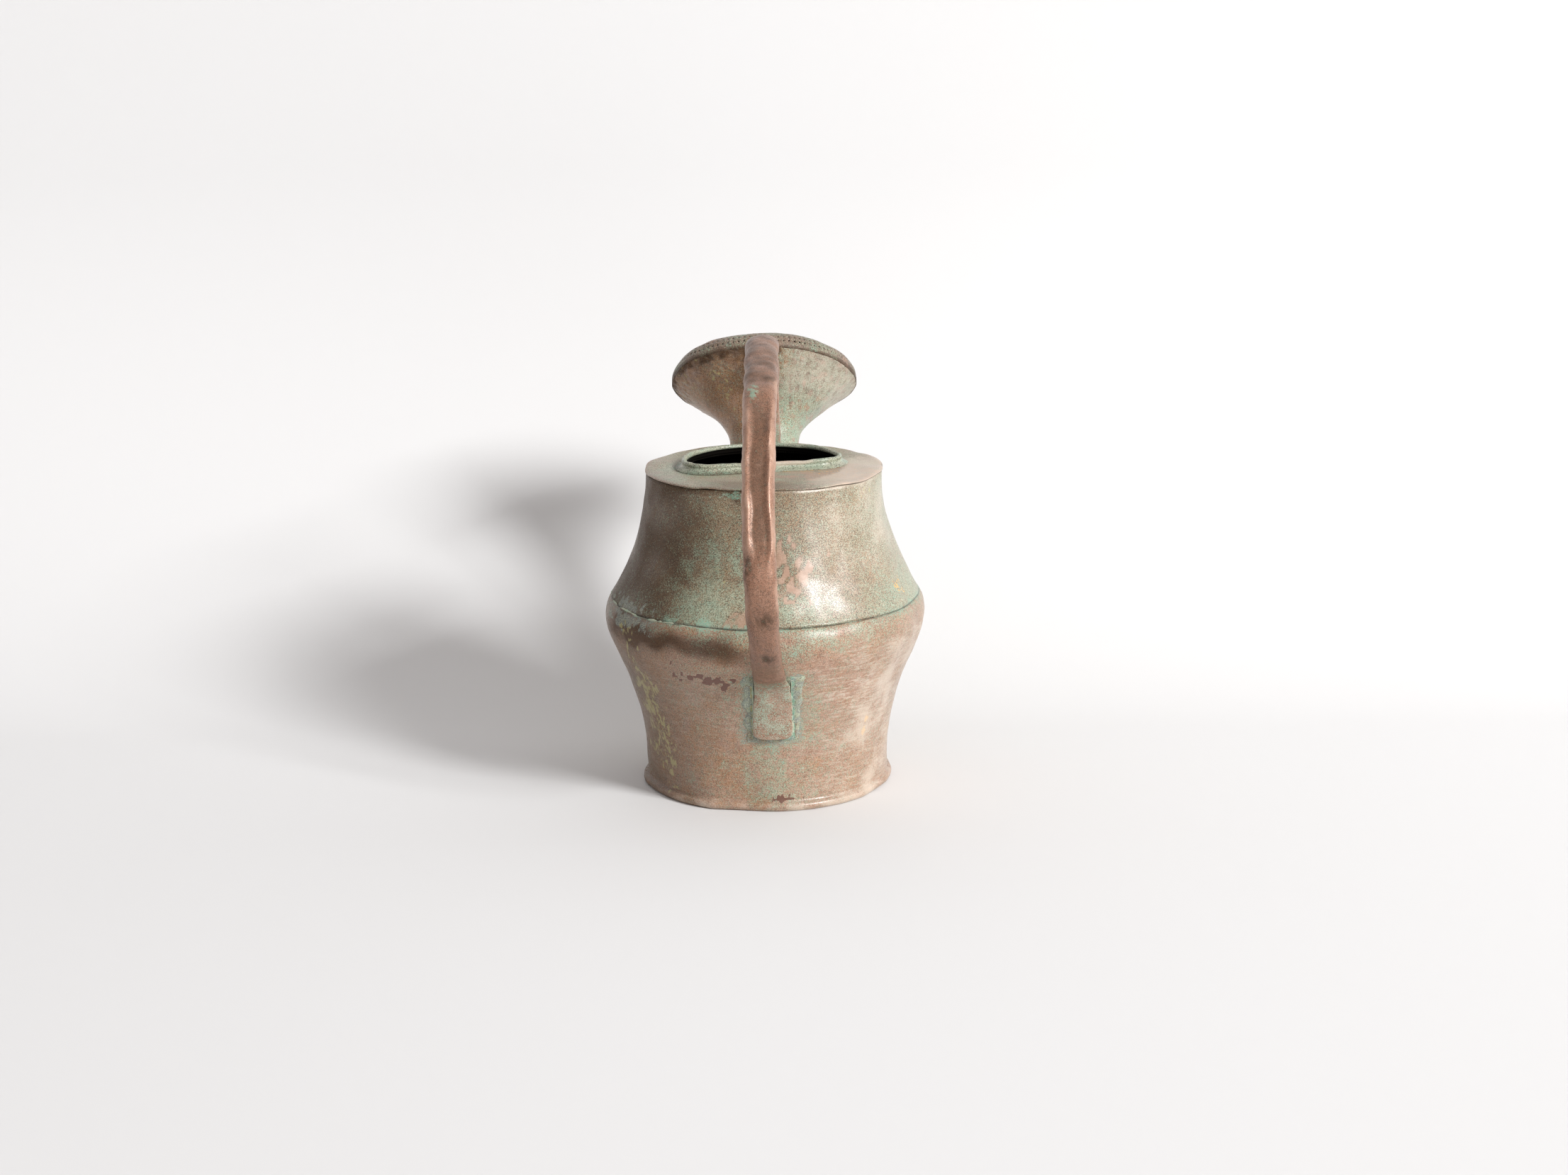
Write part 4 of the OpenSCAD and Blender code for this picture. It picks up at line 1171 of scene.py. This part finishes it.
def paint_plate(obj):
    p, a, r, z = on_body(obj)
    line, _ = mouth_line(200)
    gap = np.min(np.linalg.norm(p[:, None, :2] - line[None], axis=2), axis=1)
    groove = hump(gap, RIM_SKIRT_W, 2.5)
    # Painted shade, partly: the dark ring in the groove round the collar, stronger on the left, away from the
    # key light.
    dark = 0.9 * groove * (0.35 + 0.65 * smooth(-a, -10, 50) * smooth(-a, 120, 80))
    dark += 0.45 * smooth(np.abs(a + 8), 40, 12) * smooth(r, 56, 66)
    # Painted shade in the gap under the plate's edge, stronger on the right.
    crack = smooth(z, PLATE_TOP - 0.8, SHOULDER_Z) * smooth(r, PLATE_R - 12, PLATE_R - 7)
    hidden = smooth(z, SHOULDER_Z + 0.4, SHOULDER_Z) * (r < 84)
    wear_light_and_shade(obj, PLATE_PATCHES, dark=dark,
         green=0.55 * smooth(gap, 24, 8) + 0.35 * smooth(lumps(p, 20, 131)),
         teal=0.5 * groove * smooth(lumps(p, 12, 132), 0, 0.8),
         bare=0.4 * smooth(r, PLATE_R - 4, PLATE_R - 1),
         crack=0.75 * crack * (0.25 + 0.75 * smooth(a, 8, 24)),
         # Painted light: the plate's right side, where the key light falls, is painted paler.
         pale=1.1 * smooth(a, 15, 50) * smooth(a, 130, 90) * smooth(r, 56, 70),
         # the mouth's edge under the bead and the plate's underside inside the can are painted near black, as
         # painted shade
         inside=np.maximum(smooth(gap, RIM_BEAD_R + 0.5, RIM_BEAD_R), hidden))


def paint_collar(obj):
    p, a, _, z = on_body(obj)
    z = z - PLATE_TOP
    top = smooth(z, RIM_H - 2.2, RIM_H)
    worn = 0.85 * patch_of(p, 34, PLATE_TOP + RIM_H, 16, 4, 142, 0.4, 10)
    line, out = mouth_line(200)
    off = p[:, None, :2] - line[None]
    near = np.argmin(np.linalg.norm(off, axis=2), axis=1)
    outward = (off[np.arange(len(p)), near] * out[near]).sum(1)
    wear_light_and_shade(obj, green=0.75 + 0.2 * lumps(p, 16, 141) - 0.6 * top * smooth(np.abs(a - 20), 70, 30),
         bare=top * (worn + 0.3 * smooth(lumps(p, 12, 143), 0.2, 0.9)),
         # Painted highlight: the upper part of the collar's front and right, where the key light catches it,
         # is painted paler.
         pale=1.6 * smooth(z, 2.5, 5) * smooth(np.abs(a - 20), 66, 30),
         teal=0.35 * smooth(lumps(p, 14, 144), 0.1, 0.9),
         # Painted shade in the groove at the collar's foot, on the left, away from the key light.
         dark=0.75 * smooth(z, 2.4, 0.4) * smooth(-a, -20, 40),
         # the collar's inner side is painted near black, as painted shade
         inside=smooth(z, RIM_H - 2.2, RIM_H - 3.4) * smooth(outward, ROLL_R + 0.6, ROLL_R))


def paint_patch(obj):
    p = where(obj)
    x, below = p[:, 0] - TONGUE_X, TONGUE_Z - p[:, 2]
    gap = np.maximum(np.abs(x) - TONGUE_W / 2, below)
    line, right = hump(gap, 0.8, 1.1), smooth(x, -8, 8)
    wear_light_and_shade(obj, green=0.5 + 0.3 * lumps(p, 9, 151), crust=0.55 + 0.3 * lumps(p, 7, 153),
         teal=1.3 * line * right + 0.3 * line + 0.2 * smooth(lumps(p, 8, 152)), dark=0.55 * smooth(gap, 4, 1),
         yellow=1.2 * line * (1 - right) * (below < 0))


def paint_trumpet(obj):
    p = where(obj)
    q = to_rose_frame(p)
    a, s = np.degrees(np.arctan2(q[:, 0], -q[:, 1])), q[:, 2]
    left = smooth(-a, -12, 30) * smooth(-a, 175, 140)
    right = smooth(a, -5, 25)
    teal = 0.35 * right * smooth(lumps(p, 12, 161), 0, 0.8)
    # Painted shade: the bands just under the face's lip are painted darker, more so on the left, away from
    # the key light.
    dark = 0.25 * left * smooth(lumps(p, 26, 163), -0.6, 0.7) + 0.5 * smooth(s, -9, -2) * left
    dark += 0.4 * hump(a, -10, 16) * smooth(s, -55, -30)
    dark += 0.5 * right * smooth(lumps(p * [1, 1, 0.4], 6, 170), 0.6, 1.3) * smooth(s, -45, -25)
    # Painted shade in the gap under the face's lip.
    dark += 0.9 * smooth(s, -6, -3.5) * smooth(lumps(p, 11, 168), -0.3, 0.4) * (1 - 0.5 * right)
    wear_light_and_shade(obj, green=0.95 * right + 0.5 * smooth(np.abs(a), 100, 140) + 0.35 * smooth(s, -50, -70), dark=dark,
         teal=teal + 0.5 * smooth(s, -52, -66) * smooth(lumps(p, 12, 162), 0, 0.7),
         streak=0.55 * right + 0.3 * left, pale=0.55 * right * smooth(s, -48, -12),
         bare=0.4 * right * smooth(lumps(p, 9, 165), 0.5, 1.2) + 0.35 * left * smooth(lumps(p, 30, 166)),
         rust=1.8 * left + 0.25 * right * smooth(lumps(p, 30, 169)),
         yellow=0.45 * left * smooth(lumps(p, 20, 167), 0.2, 1))


def paint_face(obj):
    p = where(obj)
    lip = smooth(to_rose_frame(p)[:, 2], 2.5, 0)
    wear_light_and_shade(obj, green=0.35 + 0.4 * smooth(lumps(p, 22, 171), -0.2, 0.9), dark=0.75 * lip + 0.25,
         bare=0.35 * smooth(lumps(p, 26, 172), 0.2, 1), teal=0.3 * smooth(lumps(p, 18, 173), 0.4, 1.1))


# ---------------------------------------------------------------- build

lower = make_lower_shell()
upper = make_upper_shell()
seam = make_seam_crust()
plate = make_plate()
collar = make_collar()
handle = make_handle()
patch = make_patch()
tongue_crust = make_tongue_crust()
far_solder = make_far_solder()
trumpet = make_trumpet()
rose_solder = make_rose_solder()
face = make_face()
spout, root = make_spout()
root_solder = make_spout_solder(root)
sleeve_solder = make_sleeve_solder()
bore(lower)
for angle, z, size in ((-163.5, 247.8, 1.6), (-162.2, 248.7, 1.2)):
    pierce(upper, angle, z, size)

paint_lower(lower)
paint_upper(upper)
paint_plate(plate)
paint_collar(collar)
paint_patch(patch)
paint_trumpet(trumpet)
paint_trumpet(rose_solder)
paint_face(face)
TEAL_LEVELS = {seam: 0.45, tongue_crust: 0.95, far_solder: 0.5, root_solder: 0.4, sleeve_solder: 0.4}
for obj, level in TEAL_LEVELS.items():
    wear_light_and_shade(obj, green=0.8, teal=level * (0.6 + 0.4 * lumps(where(obj), 9, 181)), crust=0.5 * (1 - level))

dress([lower], "lower_copper", green=0.32, pits=0.55, orange=0.5, pink=0.6, warm=(0.34, 0.185, 0.11),
      salt=0.26, seam=True)
dress([upper], "upper_copper", green=0.44, pits=0.75, orange=0.35, pink=0.4, warm=(0.28, 0.195, 0.11),
      sheen=0.6, seam=True)
dress([plate], "shoulder_copper", green=0.5, pits=0.75, gloss=0.34, orange=0.4, pink=0.4,
      warm=(0.27, 0.18, 0.12))
dress([collar], "collar_copper", green=0.6, pits=1.0, relief=1.2, sheen=0.6)
dress([handle], "handle_copper", green=0.08, pits=0.45, gloss=0.38, metal=0.28, relief=1.1, pink=0.22,
      warm=(0.33, 0.16, 0.095), sheen=0.2, salt=0.14)
dress([patch], "patch_copper", green=0.6, pits=0.5, gloss=0.45, sheen=0.1)
dress([trumpet, rose_solder], "trumpet_copper", green=0.34, pits=0.75, gloss=0.36, orange=0.9, relief=1.3,
      salt=0.2, brush=(1.0, 0.12, 0.22))
dress([face], "rose_copper", green=0.3, pits=0.7, gloss=0.4, warm=(0.2, 0.13, 0.085))
dress([spout], "spout_copper", pits=0.7, gloss=0.4, orange=0.3)
dress(TEAL_LEVELS, "solder", green=0.8, pits=0.7, gloss=0.5, relief=1.4, sheen=0.1)
dress([make_base()], "rusty_iron", green=0.0, pits=0.9, gloss=0.6, orange=0.9, warm=(0.2, 0.1, 0.06), sheen=0)


# ---------------------------------------------------------------- floor, light and camera

def white_paper():
    """Matt paper that is clear from behind, so that it never hides the can."""
    s = Shade("white_paper")
    s.put(s.shader, {"Base Color": (0.75, 0.75, 0.75), "Roughness": 0.9, "Specular IOR Level": 0.1})
    clear = s.add("ShaderNodeBsdfTransparent")
    side = s.add("ShaderNodeNewGeometry")
    choose = s.put(s.add("ShaderNodeMixShader"), {
        0: side.outputs["Backfacing"], 1: s.shader.outputs[0], 2: clear.outputs[0]})
    s.put(s.tree.nodes["Material Output"], {"Surface": choose.outputs[0]})
    return s.material


def make_backdrop():
    """A sheet of white paper that lies flat under the can and sweeps up behind it."""
    start, bend, tall, half = 120, 430, 2600, 4200
    sweep = arc([start, bend], bend, -90, 0, 40)
    line = np.concatenate([[[-6000, 0]], sweep, [[start + bend, tall]]])
    rows = np.zeros((len(line), 2, 3))
    rows[:, 0, 0], rows[:, 1, 0] = -half, half
    rows[:, :, 1] = line[:, 0, None]
    rows[:, :, 2] = line[:, 1, None]
    mesh = bpy.data.meshes.new("backdrop")
    faces = grid_faces(len(line), 2, False, False)
    mesh.from_pydata((rows.reshape(-1, 3) * MM).tolist(), [], faces.tolist())
    mesh.polygons.foreach_set("use_smooth", [True] * len(mesh.polygons))
    obj = bpy.data.objects.new("backdrop", mesh)
    bpy.context.scene.collection.objects.link(obj)
    mesh.materials.append(white_paper())


def lamp(name, place, aim, wide, high, power):
    data = bpy.data.lights.new(name, "AREA")
    data.shape = "RECTANGLE"
    data.size, data.size_y, data.energy = wide, high, power
    obj = bpy.data.objects.new(name, data)
    obj.location = place
    obj.rotation_euler = (Vector(aim) - Vector(place)).to_track_quat("-Z", "Y").to_euler()
    bpy.context.scene.collection.objects.link(obj)


def make_light():
    aim = Vector((0, 0, 0.17))
    way = Vector((0.676, -0.567, 0.469)).normalized()
    lamp("key", aim + way * 10, aim, 2.5, 2.5, 1150)
    world = bpy.data.worlds.new("studio")
    world.use_nodes = True
    world.node_tree.nodes["Background"].inputs["Color"].default_value = (1, 0.94, 0.925, 1)
    world.node_tree.nodes["Background"].inputs["Strength"].default_value = 0.42
    bpy.context.scene.world = world


def make_camera():
    data = bpy.data.cameras.new("camera")
    data.sensor_width, data.lens = 36, 70
    data.clip_end = 50
    obj = bpy.data.objects.new("camera", data)
    tilt, roll = math.radians(90 - 14.1), math.radians(-0.7)
    obj.matrix_world = (Matrix.Translation((0.015, -2.345, 0.744)) @ Matrix.Rotation(tilt, 4, "X")
                        @ Matrix.Rotation(roll, 4, "Z"))
    bpy.context.scene.collection.objects.link(obj)
    bpy.context.scene.camera = obj


make_backdrop()
make_light()
make_camera()
bpy.context.scene.view_settings.view_transform = "Standard"
